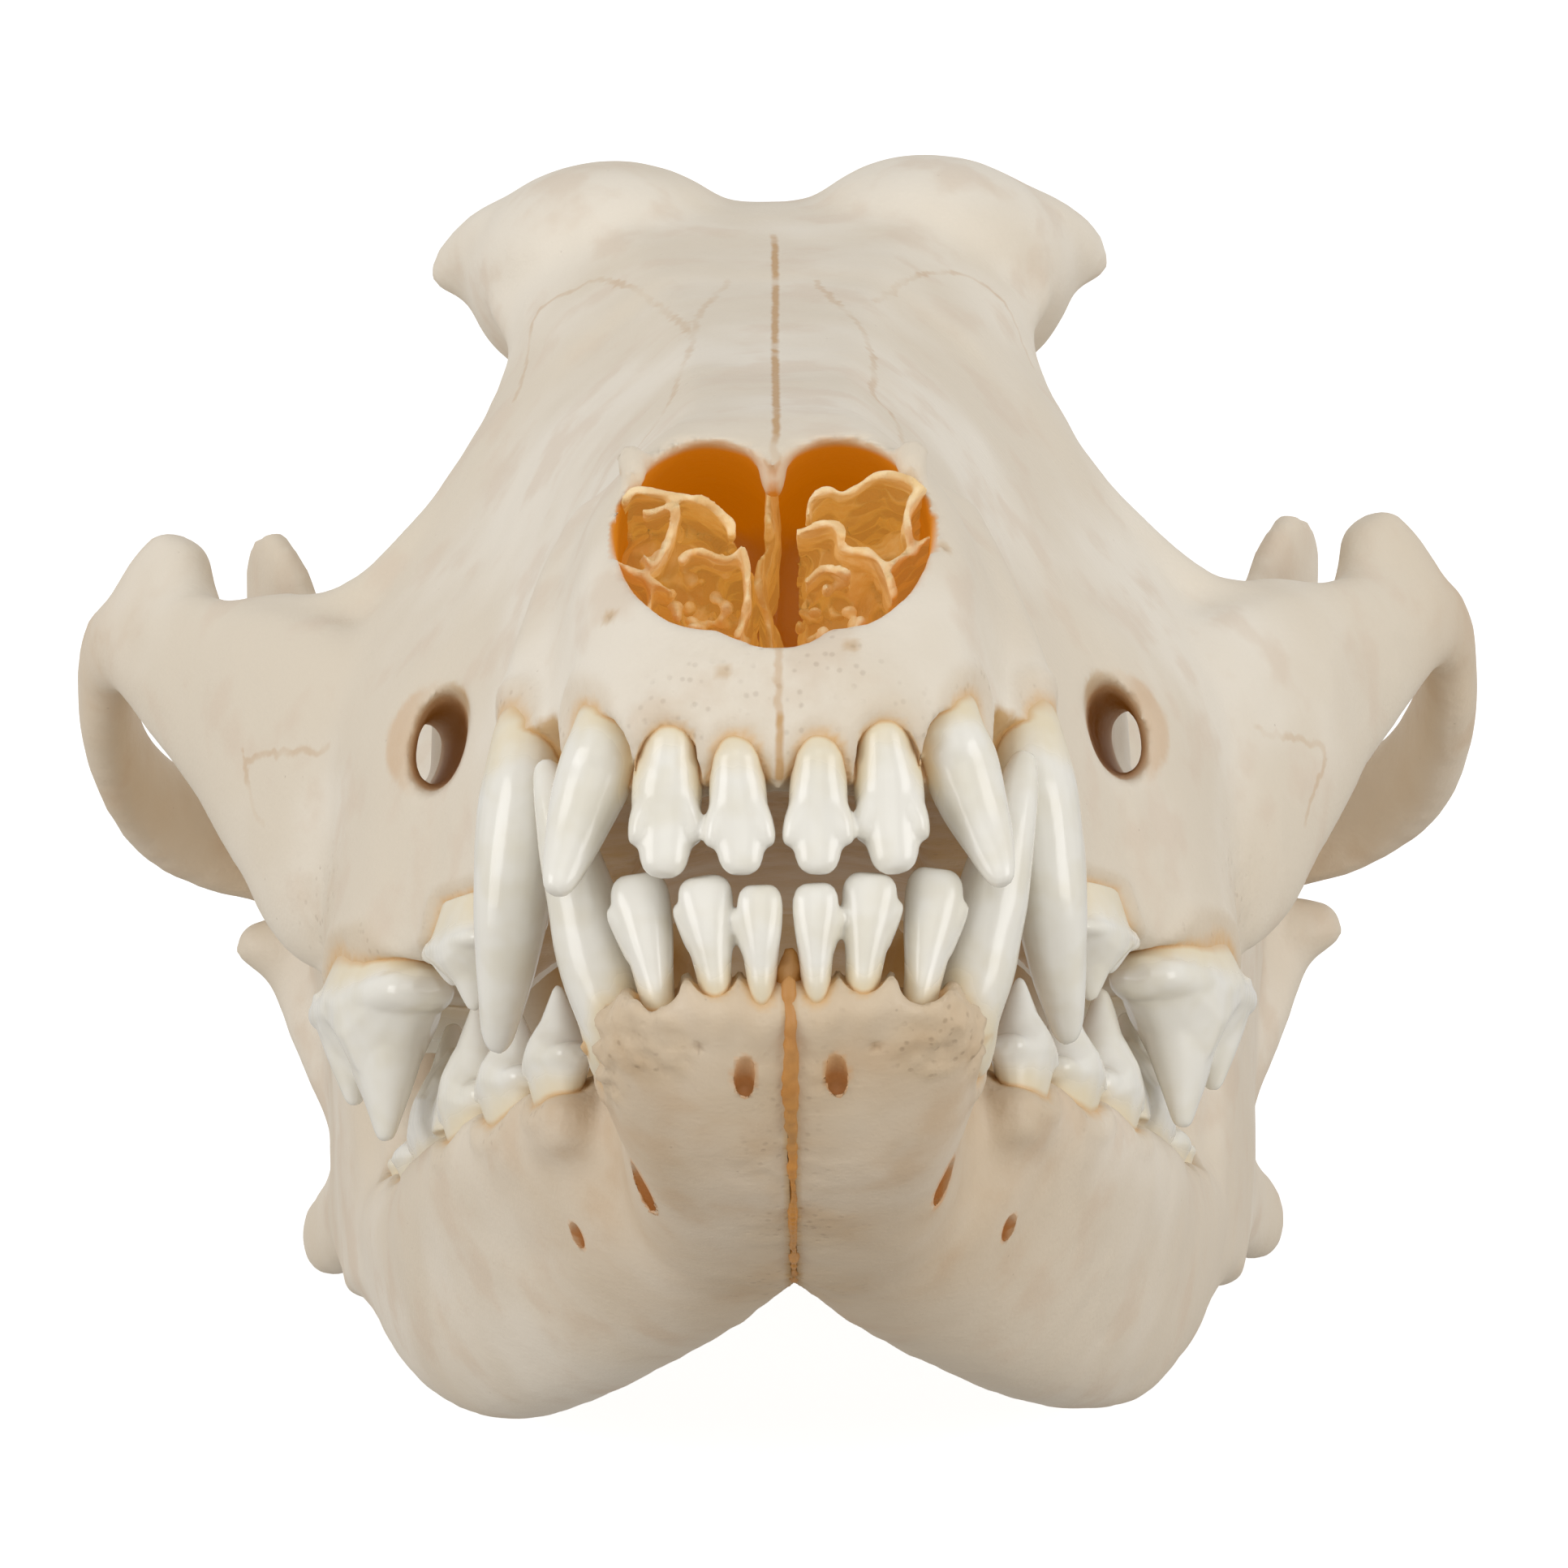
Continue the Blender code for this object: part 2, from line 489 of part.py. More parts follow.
def peg(neck, tip, half_width, half_depth, bow, shares):
    """A tooth with one point: its root, then a crown whose width runs across and depth runs back."""
    neck, tip = np.array(neck), np.array(tip)
    axis = tip - neck
    root = neck + np.array((0, ROOT_LEAN, -math.copysign(ROOT_DEPTH, axis[2])))
    rows = [(*root, half_width * ROOT_SHARE, half_depth * ROOT_SHARE)]
    for share, wide, deep in shares:
        point = neck + axis * share + np.array((0, bow * 4 * share * (1 - share), 0))
        rows.append((*point, half_width * wide, half_depth * deep))
    return limb(rows, up=(0, 1, 0), steps=1, sides=PEG_SIDES, power=2.3)


def side_lobes(neck, tip, half_width, half_depth):
    """The two small lobes beside the main one of a cutting tooth."""
    neck, tip = np.array(neck), np.array(tip)
    lobes = []
    for side in (-1, 1):
        rows = []
        for share, aside, wide, deep in LOBE_LEVELS:
            point = neck + (tip - neck) * share + np.array((side * half_width * aside, 0, 0))
            rows.append((*point, half_width * wide, half_depth * deep))
        lobes.append(limb(rows, up=(0, 1, 0), steps=1, sides=PEG_SIDES))
    return lobes


def blade_tooth(x, y, neck, heading, half_length, half_width, cusps, down):
    """A shearing tooth: an oval neck that narrows to a ridge of cusps along its length."""
    angle = np.arange(BLADE_SIDES) * 2 * math.pi / BLADE_SIDES
    along, across = np.cos(angle), np.sin(angle)
    places, heights = zip(*cusps)
    ridge = np.interp(along, places, heights)
    turn = math.radians(heading)
    rings = []
    for sunk, long, wide, share in BLADE_LEVELS:
        u, v = along * long * half_length, across * wide * half_width
        height = ridge * share - sunk * ROOT_DEPTH
        px = x + u * math.sin(turn) + v * math.cos(turn)
        py = y + u * math.cos(turn) - v * math.sin(turn)
        rings.append(np.stack([px, py, neck + height * (-1 if down else 1)], axis=1))
    return closed_mesh(rings)


def grinding_tooth(x, y, neck, half_across, half_along, cheek_cusp, tongue_cusp):
    """An upper molar: broad across the palate, high on the cheek side, with a hollow crown."""
    angle = np.arange(BLADE_SIDES) * 2 * math.pi / BLADE_SIDES
    c, s = np.cos(angle), np.sin(angle)
    rim = tongue_cusp + (cheek_cusp - tongue_cusp) * (c + 1) / 2 - CUSP_DIP * np.cos(2 * angle) ** 2
    taper = 1 - TONGUE_TAPER * (1 - c) / 2
    rings = []
    for sunk, wide, share in GRINDER_LEVELS:
        px = x + c * wide * half_across
        py = y + s * wide * half_along * taper
        rings.append(np.stack([px, py, neck + sunk * ROOT_DEPTH - rim * share], axis=1))
    return closed_mesh(rings)


def teeth(pegs, blades, grinders, down):
    """The teeth of one side, each a closed piece."""
    made = []
    for name, (neck, tip, half_width, half_depth, bow) in pegs.items():
        pointed = name == "canine" or (name == "incisor_3" and down)
        made.append(peg(neck, tip, half_width, half_depth, bow, SPIKE if pointed else SPADE))
        if name in LOBED and down:
            made.extend(side_lobes(neck, tip, half_width, half_depth))
    for row in blades.values():
        made.append(blade_tooth(*row, down))
    for row in grinders.values():
        made.append(grinding_tooth(*row))
    return made


def to_object(name, pieces):
    """One object holding each piece as its own closed shell, in metres, with its faces pointing out."""
    mesh = bpy.data.meshes.new(name)
    bm = bmesh.new()
    for points, faces in pieces:
        corners = [bm.verts.new(p) for p in points * MM]
        made = [bm.faces.new([corners[i] for i in face]) for face in faces]
        bmesh.ops.recalc_face_normals(bm, faces=made)
    bmesh.ops.triangulate(bm, faces=bm.faces)
    bm.to_mesh(mesh)
    bm.free()
    obj = bpy.data.objects.new(name, mesh)
    bpy.context.scene.collection.objects.link(obj)
    return obj


def remove(objects):
    """Deletes objects."""
    for obj in list(objects):
        bpy.data.objects.remove(obj)


def settle(obj):
    """Replaces an object's mesh by the one that its modifiers make."""
    graph = bpy.context.evaluated_depsgraph_get()
    mesh = bpy.data.meshes.new_from_object(obj.evaluated_get(graph), depsgraph=graph)
    obj.modifiers.clear()
    obj.data = mesh


def fuse(obj):
    """Melts an object's overlapping shells into one smooth surface."""
    remesh = obj.modifiers.new("melt", "REMESH")
    remesh.mode = "VOXEL"
    remesh.voxel_size = VOXEL * MM
    relax = obj.modifiers.new("relax", "SMOOTH")
    relax.factor = 0.5
    relax.iterations = SMOOTH_STEPS
    settle(obj)


def thin_out(obj, triangles):
    """Lowers an object to about that many triangles."""
    obj.data.calc_loop_triangles()
    decimate = obj.modifiers.new("thin", "DECIMATE")
    decimate.ratio = min(1.0, triangles / len(obj.data.loop_triangles))
    settle(obj)


def combine(obj, others, operation):
    """Joins or cuts an object with others, which are then deleted."""
    group = bpy.data.collections.new("helpers")
    bpy.context.scene.collection.children.link(group)
    for other in others:
        group.objects.link(other)
    boolean = obj.modifiers.new(operation, "BOOLEAN")
    boolean.operation = operation
    boolean.operand_type = "COLLECTION"
    boolean.collection = group
    boolean.solver = "EXACT"
    settle(obj)
    remove(others)
    bpy.data.collections.remove(group)


def islands(bm):
    """The separate surfaces of a mesh, as lists of its points, the largest last."""
    left, groups = set(bm.verts), []
    while left:
        stack, group = [left.pop()], []
        while stack:
            vert = stack.pop()
            group.append(vert)
            for edge in vert.link_edges:
                other = edge.other_vert(vert)
                if other in left:
                    left.remove(other)
                    stack.append(other)
        groups.append(group)
    return sorted(groups, key=len)


def keep_largest(obj):
    """Leaves only the largest closed surface of an object."""
    bm = bmesh.new()
    bm.from_mesh(obj.data)
    dropped = [vert for group in islands(bm)[:-1] for vert in group]
    bmesh.ops.delete(bm, geom=dropped, context="VERTS")
    bmesh.ops.triangulate(bm, faces=bm.faces)
    bm.to_mesh(obj.data)
    bm.free()


def split_off(obj, name, place):
    """A new object with the surface of obj that holds the point nearest to a place."""
    bm = bmesh.new()
    bm.from_mesh(obj.data)
    nearest = min(bm.verts, key=lambda vert: (vert.co - Vector(place) * MM).length)
    kept = next(set(group) for group in islands(bm) if nearest in group)
    bmesh.ops.delete(bm, geom=[vert for vert in bm.verts if vert not in kept], context="VERTS")
    mesh = bpy.data.meshes.new(name)
    bm.to_mesh(mesh)
    bm.free()
    piece = bpy.data.objects.new(name, mesh)
    bpy.context.scene.collection.objects.link(piece)
    return piece


def cranium():
    """The upper skull as one bone, before its seams are cut and its teeth set."""
    face = to_object("face", [lined_trunk(FACE)])
    hollows = to_object("orbit_hollows", both_sides(ball(*ORBIT_HOLLOW)))
    combine(face, [hollows], "DIFFERENCE")
    paired = both_sides(
        ball(*BROW),
        ball(*MASTOID),
        ball(*EAR_BULLA),
        ball(*NECK_KNUCKLE),
        limb(BROW_HORN),
        limb(ORBIT_RIM),
        limb(CHEEK_ARCH, sides=16),
        limb(CHEEK_HORN, up=CHEEK_HORN_LIE),
        limb(JAW_SOCKET_ROOT),
        limb(JAW_SOCKET_STOP, up=(0, 1, 0)),
        limb(TEMPLE_LINE),
        limb(NAPE_CREST, up=(0, 1, 0)),
        limb(NECK_PROCESS, up=(0, 1, 0)),
        limb(THROAT_PLATE),
        limb(THROAT_HOOK, up=(1, 0, 0)),
        limb(CANINE_SWELLING, up=(0, 1, 0)),
    )
    midline = [lined_trunk(HEAD), upright_plate(OCCIPUT, sides=28), limb(TOP_CREST)]
    rest = to_object("skull_mass", midline + paired)
    whole = to_object("cranium", [])
    bm = bmesh.new()
    for part in (face, rest):
        bm.from_mesh(part.data)
    bm.to_mesh(whole.data)
    bm.free()
    remove([face, rest])
    fuse(whole)
    thin_out(whole, CRANIUM_TRIANGLES * 2)
    cutters = [
        to_object("nose_hole", [limb(NOSE_HOLE, sides=20, power=2.0)]),
        to_object("nose_hole_right", [mirrored(limb(NOSE_HOLE, sides=20, power=2.0))]),
        to_object("nose_floor", [limb(NOSE_FLOOR, sides=16)]),
        to_object("palate_hollow", [trunk(PALATE_HOLLOW)]),
        to_object("tooth_gaps", both_sides(ball(*TOOTH_GAP))),
        to_object("cheek_holes", both_sides(limb(CHEEK_HOLE, up=CHEEK_HOLE_LIE))),
        to_object("throat_hole", [trunk(THROAT_HOLE)]),
        to_object("neck_hole", [limb(NECK_HOLE, sides=16)]),
        to_object("ear_holes", both_sides(limb(EAR_HOLE))),
    ]
    combine(whole, cutters, "DIFFERENCE")
    thin_out(whole, CRANIUM_TRIANGLES)
    keep_largest(whole)
    return whole


def parted(whole):
    """The upper skull cut at its seams into the muzzle, the braincase and the two cheek arches."""
    seams = [to_object("face_seam", [slab(*FACE_SEAM)])]
    for seam in (ARCH_FRONT_SEAM, ARCH_BACK_SEAM):
        seams.append(to_object("arch_seams", both_sides(slab(*seam))))
    combine(whole, seams, "DIFFERENCE")
    pieces = [split_off(whole, name, place) for name, place in BONE_PLACES.items()]
    remove([whole])
    return pieces


def jaw():
    """The left half of the lower jaw, before its teeth are set."""
    bone = to_object(
        "jaw",
        [
            jaw_bar(JAW_BAR),
            upright_plate(JAW_BLADE),
            limb(BLADE_EDGE, up=(0, 1, 0)),
            limb(JAW_KNUCKLE),
            limb(KNUCKLE_NECK, up=(1, 0, 0)),
            limb(JAW_HEEL),
        ],
    )
    fuse(bone)
    thin_out(bone, JAW_TRIANGLES * 2)
    cutters = [
        to_object("midline_cut", [block(*MIDLINE_BLOCK)]),
        to_object("chin_holes", [limb(rows, sides=8) for rows in CHIN_HOLES]),
    ]
    combine(bone, cutters, "DIFFERENCE")
    thin_out(bone, JAW_TRIANGLES)
    keep_largest(bone)
    return bone


def set_teeth(bone, pieces):
    """Roots each tooth in a bone, so that the bone stays one closed body."""
    combine(bone, [to_object("tooth", [piece]) for piece in pieces], "UNION")
    keep_largest(bone)


def lower_jaws():
    """The two halves of the lower jaw with their teeth, the right one mirrored from the left."""
    left = jaw()
    set_teeth(left, teeth(LOWER_PEGS, LOWER_BLADES, {}, down=False))
    left.name = "mandible_left"
    right = left.copy()
    right.data = left.data.copy()
    right.name = "mandible_right"
    bpy.context.scene.collection.objects.link(right)
    right.data.transform(Matrix.Scale(-1, 4, (1, 0, 0)))
    right.data.flip_normals()
    for half in (left, right):
        half.data.transform(Matrix.Translation((JAW_SHIFT * MM, 0, 0)))
    return [left, right]


def lay_down(bones):
    """Hangs the bones on an empty that pitches them nose-up onto the jaws, and files small flats to rest on."""
    turn = Matrix.Rotation(-math.radians(PITCH_DEG), 4, "X")
    points = [turn @ vert.co for bone in bones for vert in bone.data.vertices]
    lowest = min(p.z for p in points) + FLAT_DEPTH * MM
    middle = (min(p.y for p in points) + max(p.y for p in points)) / 2
    pose = Matrix.Translation((0, -middle, -lowest)) @ turn
    rest = bpy.data.objects.new("resting_pose", None)
    bpy.context.scene.collection.objects.link(rest)
    rest.matrix_world = pose
    for bone in bones:
        if min((pose @ vert.co).z for vert in bone.data.vertices) < 0:
            ground = to_object("ground_cut", [block(*GROUND_BLOCK)])
            ground.data.transform(pose.inverted())
            combine(bone, [ground], "DIFFERENCE")
            keep_largest(bone)
        bone.parent = rest


def dress(bone):
    """Gives a bone its colour and smooth shading."""
    material = bpy.data.materials.new(bone.name)
    material.use_nodes = True
    shader = material.node_tree.nodes["Principled BSDF"]
    shader.inputs["Base Color"].default_value = BONE_COLOUR
    shader.inputs["Roughness"].default_value = 0.55
    shader.inputs["Metallic"].default_value = 0.0
    bone.data.materials.clear()
    bone.data.materials.append(material)
    bone.data.shade_smooth()
    bone.data.set_sharp_from_angle(angle=math.radians(SHARP_EDGE_DEG))


def main():
    """Builds the skull."""
    remove(bpy.data.objects)
    bones = parted(cranium())
    set_teeth(bones[0], both_sides(*teeth(UPPER_PEGS, UPPER_BLADES, UPPER_GRINDERS, down=True)))
    bones.extend(lower_jaws())
    lay_down(bones)
    for bone in bones:
        dress(bone)


main()
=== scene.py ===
"""Dresses the dog skull: fine bone with seams and pores, glossy teeth, the nose's thin scrolls, light, floor.

Rows of sizes are in millimetres in the skull's own frame: X runs to the animal's left, Y runs from the front
teeth to the back of the head, and Z runs up from the palate. The finished pieces are laid in the row's frame.
"""
import logging
import math
from dataclasses import dataclass
from enum import Enum
from typing import Iterable, Mapping, Sequence

import bmesh
import bpy
import numpy as np
from mathutils import Matrix, Vector
from mathutils.bvhtree import BVHTree


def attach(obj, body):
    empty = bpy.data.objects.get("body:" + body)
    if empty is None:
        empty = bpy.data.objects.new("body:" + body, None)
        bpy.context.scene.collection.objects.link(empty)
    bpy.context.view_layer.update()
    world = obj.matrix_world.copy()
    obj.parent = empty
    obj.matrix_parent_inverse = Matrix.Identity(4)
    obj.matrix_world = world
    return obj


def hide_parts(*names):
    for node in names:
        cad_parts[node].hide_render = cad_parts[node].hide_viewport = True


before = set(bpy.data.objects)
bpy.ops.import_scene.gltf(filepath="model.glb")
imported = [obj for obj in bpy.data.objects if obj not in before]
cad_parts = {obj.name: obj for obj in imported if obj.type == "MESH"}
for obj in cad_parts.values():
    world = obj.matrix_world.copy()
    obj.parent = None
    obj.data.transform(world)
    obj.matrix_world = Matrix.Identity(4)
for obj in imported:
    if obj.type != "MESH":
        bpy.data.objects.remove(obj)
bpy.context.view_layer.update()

LOG = logging.getLogger("skull")
MM = 0.001
# Strength of the painted glow: the bone materials make the nose, the holes and the chin joint glow orange, as
# if lit through, though they are no lamp.
PAINTED_GLOW_STRENGTH = 0.3
Row = tuple[float, ...]
Rows = tuple[Row, ...]
Colour = tuple[float, float, float]


class Slot(Enum):
    """The record's material slots."""

    BONE = "bone"
    TOOTH = "tooth"


@dataclass(frozen=True)
class RestingPose:
    """How the skull's own frame lies in the row's frame: nose-up on the jaws."""

    pitch_deg: float = 16.0
    back: float = -103.8321
    up: float = 60.3276

    def matrix(self) -> Matrix:
        """The turn and shift, in metres."""
        turn = Matrix.Rotation(-math.radians(self.pitch_deg), 4, "X")
        return Matrix.Translation((0, self.back * MM, self.up * MM)) @ turn


POSE = RestingPose().matrix()


def new_object(name: str, data: bpy.types.ID) -> bpy.types.Object:
    """Puts a new object in the scene.

    Args:
        name: Its name.
        data: Its mesh, lamp or lens.

    Returns:
        The object.
    """
    made = bpy.data.objects.new(name, data)
    bpy.context.scene.collection.objects.link(made)
    return made


@dataclass
class Shell:
    """A closed surface: points in millimetres in the skull's frame, and faces."""

    points: np.ndarray
    faces: list[tuple[int, ...]]

    def mirrored(self) -> "Shell":
        """The same surface on the other side of the midline."""
        return Shell(self.points * (-1, 1, 1), self.faces)


def both_sides(*shells: Shell) -> list[Shell]:
    """Each surface and its mirror image."""
    return [side for shell in shells for side in (shell, shell.mirrored())]


def resample(rows: Sequence[Row], steps: int) -> np.ndarray:
    """Adds smooth (Catmull-Rom) rows between rows.

    Args:
        rows: The given rows.
        steps: How many rows to make for each gap.

    Returns:
        The longer table.
    """
    table = np.array(rows, float)
    ends = np.vstack([2 * table[0] - table[1], table, 2 * table[-1] - table[-2]])
    out = []
    for i in range(len(table) - 1):
        before, start, stop, after = ends[i : i + 4]
        for k in range(steps):
            t = k / steps
            curve = 2 * before - 5 * start + 4 * stop - after
            twist = 3 * start - before - 3 * stop + after
            out.append(0.5 * (2 * start + (stop - before) * t + curve * t * t + twist * t**3))
    out.append(table[-1])
    return np.array(out)


def rounded(power: float, sides: int) -> tuple[np.ndarray, np.ndarray]:
    """Points of a unit super-ellipse.

    Args:
        power: 2 is a circle, and a higher power is squarer.
        sides: How many points.

    Returns:
        Their first and second coordinates.
    """
    angle = np.arange(sides) * 2 * math.pi / sides
    c, s = np.cos(angle), np.sin(angle)
    return np.sign(c) * np.abs(c) ** (2 / power), np.sign(s) * np.abs(s) ** (2 / power)


def closed_tube(rings: list[np.ndarray]) -> Shell:
    """A closed tube through rings of points, with its two ends filled.

    Args:
        rings: The points of each ring, with the same count in each.

    Returns:
        The closed surface.
    """
    sides = len(rings[0])
    points = np.concatenate(rings)
    faces = [tuple(range(sides)), tuple(range(len(points) - 1, len(points) - sides - 1, -1))]
    for r in range(len(rings) - 1):
        for k in range(sides):
            a, b = r * sides + k, r * sides + (k + 1) % sides
            faces.append((a, a + sides, b + sides, b))
    return Shell(points, faces)


def lined_trunk(rows: Rows, levels: Row, steps: int = 4, profile_steps: int = 6) -> Shell:
    """A mass across the midline.

    Args:
        rows: y, low z, high z and half widths at the levels.
        levels: Shares of the height.
        steps: Rings for each gap between rows.
        profile_steps: Points for each gap between levels.

    Returns:
        The closed mass.
    """
    rings = []
    for y, low, high, *widths in resample(rows, steps):
        heights = low + (high - low) * np.array(levels)
        side = resample(np.stack([widths, heights], axis=1), profile_steps)
        right = np.stack([side[:, 0], np.full(len(side), y), side[:, 1]], axis=1)
        rings.append(np.concatenate([right, right[::-1] * (-1, 1, 1)]))
    return closed_tube(rings)


def trunk(rows: Rows, steps: int = 4, sides: int = 40) -> Shell:
    """A mass across the midline.

    Args:
        rows: y, low and high half width, low and high z, squareness.
        steps: Rings for each gap between rows.
        sides: Points of each ring.

    Returns:
        The closed mass.
    """
    rings = []
    for y, wide_low, wide_high, low, high, power in resample(rows, steps):
        c, s = rounded(power, sides)
        share = (s + 1) / 2
        x = c * (wide_low + (wide_high - wide_low) * share)
        rings.append(np.stack([x, np.full(sides, y), low + (high - low) * share], axis=1))
    return closed_tube(rings)


def limb(rows: Rows, up: Row = (0, 0, 1), steps: int = 5, sides: int = 20, power: float = 2.2) -> Shell:
    """A bar along a smooth path.

    Args:
        rows: x, y, z, half size across and half size along up.
        up: The direction of the second half size.
        steps: Rings for each gap between rows.
        sides: Points of each ring.
        power: Squareness of the rings.

    Returns:
        The closed bar.
    """
    table = resample(rows, steps)
    path = table[:, :3]
    ahead = np.gradient(path, axis=0)
    ahead /= np.linalg.norm(ahead, axis=1)[:, None]
    across = np.cross(ahead, up)
    across /= np.linalg.norm(across, axis=1)[:, None]
    rise = np.cross(across, ahead)
    c, s = rounded(power, sides)
    return closed_tube([
        path[i] + c[:, None] * across[i] * table[i, 3] + s[:, None] * rise[i] * table[i, 4]
        for i in range(len(table))
    ])


def jaw_bar(rows: Rows, steps: int = 4, sides: int = 32, power: float = 2.6) -> Shell:
    """The body of a jaw.

    Args:
        rows: y, x low, x high, half thickness, low z and high z.
        steps: Rings for each gap between rows.
        sides: Points of each ring.
        power: Squareness of the rings.

    Returns:
        The closed bar.
    """
    rings = []
    for y, x_low, x_high, thick, low, high in resample(rows, steps):
        c, s = rounded(power, sides)
        share = (s + 1) / 2
        x = x_low + (x_high - x_low) * share + c * thick
        rings.append(np.stack([x, np.full(sides, y), low + (high - low) * share], axis=1))
    return closed_tube(rings)


def upright_plate(rows: Rows, steps: int = 4, sides: int = 32, power: float = 2.8) -> Shell:
    """A standing blade or wall.

    Args:
        rows: z, front x, front y, back x, back y and half thickness.
        steps: Rings for each gap between rows.
        sides: Points of each ring.
        power: Squareness of the rings.

    Returns:
        The closed plate.
    """
    rings = []
    for z, front_x, front_y, back_x, back_y, thick in resample(rows, steps):
        c, s = rounded(power, sides)
        share = (c + 1) / 2
        x = front_x + (back_x - front_x) * share + s * thick
        rings.append(np.stack([x, front_y + (back_y - front_y) * share, np.full(sides, z)], axis=1))
    return closed_tube(rings)


def ball(centre: Row, radii: Row, rings: int = 20, sides: int = 36) -> Shell:
    """An ellipsoid.

    Args:
        centre: Its middle.
        radii: Its half sizes.
        rings: Rings from top to bottom.
        sides: Points of each ring.

    Returns:
        The closed surface.
    """
    turn = np.arange(sides) * 2 * math.pi / sides
    stack = []
    for k in range(rings):
        angle = math.pi * (k + 0.5) / rings
        wide = math.sin(angle)
        unit = np.stack([wide * np.cos(turn), wide * np.sin(turn), np.full(sides, math.cos(angle))], axis=1)
        stack.append(np.array(centre) + unit * np.array(radii))
    return closed_tube(stack)


def block(low: Row, high: Row) -> Shell:
    """A box between two corners.

    Args:
        low: The corner with the lowest values.
        high: The corner with the highest values.

    Returns:
        The closed box.
    """
    (x0, y0, z0), (x1, y1, z1) = low, high
    corners = [(x0, y0), (x1, y0), (x1, y1), (x0, y1)]
    return closed_tube([np.array([(x, y, z) for x, y in corners], float) for z in (z0, z1)])


def path_share(points: np.ndarray, rows: Rows) -> np.ndarray:
    """Distance from a bar's middle line, as a share of the bar's larger half size there.

    Args:
        points: Places in millimetres.
        rows: The bar's rows, as for limb.

    Returns:
        One share for each place.
    """
    share = np.full(len(points), 99.0)
    for x, y, z, across, rise in resample(rows, 6):
        share = np.minimum(share, np.linalg.norm(points - (x, y, z), axis=1) / max(across, rise))
    return share


def smooth_step(values: np.ndarray, low: float, high: float) -> np.ndarray:
    """A smooth rise from 0 at low to 1 at high, or a fall where high is the lower."""
    t = np.clip((values - low) / (high - low), 0, 1)
    return t * t * (3 - 2 * t)


def bell(values: np.ndarray, height: float, middle: float, reach: float) -> np.ndarray:
    """A soft bump of a height at a middle value."""
    return height * np.exp(-(((values - middle) / reach) ** 2))


def look_up(values: np.ndarray, table: Rows) -> np.ndarray:
    """Reads a table of pairs, with straight lines between them."""
    return np.interp(values, *zip(*table))


class Noise:
    """Smooth random values in space, the same on every run."""

    SIDE = 32

    def __init__(self, seed: int) -> None:
        """Draws the table of values."""
        self.table = np.random.default_rng(seed).uniform(-1, 1, (self.SIDE,) * 3)

    def at(self, points: np.ndarray, size: float) -> np.ndarray:
        """Values between -1 and 1.

        Args:
            points: Places in millimetres.
            size: Distance between the table's values, in millimetres.

        Returns:
            One value for each place.
        """
        place = points / size
        low = np.floor(place).astype(int)
        t = place - low
        t = t * t * (3 - 2 * t)
        total = np.zeros(len(points))
        for corner in range(8):
            bits = np.array([corner >> 2 & 1, corner >> 1 & 1, corner & 1])
            weight = np.prod(np.where(bits, t, 1 - t), axis=1)
            i, j, k = ((low + bits) % self.SIDE).T
            total += weight * self.table[i, j, k]
        return total

    def waves(self, points: np.ndarray, *kinds: Row) -> np.ndarray:
        """The sum of waves, each with its height and its size in millimetres."""
        return sum(height * self.at(points, size) for height, size in kinds)


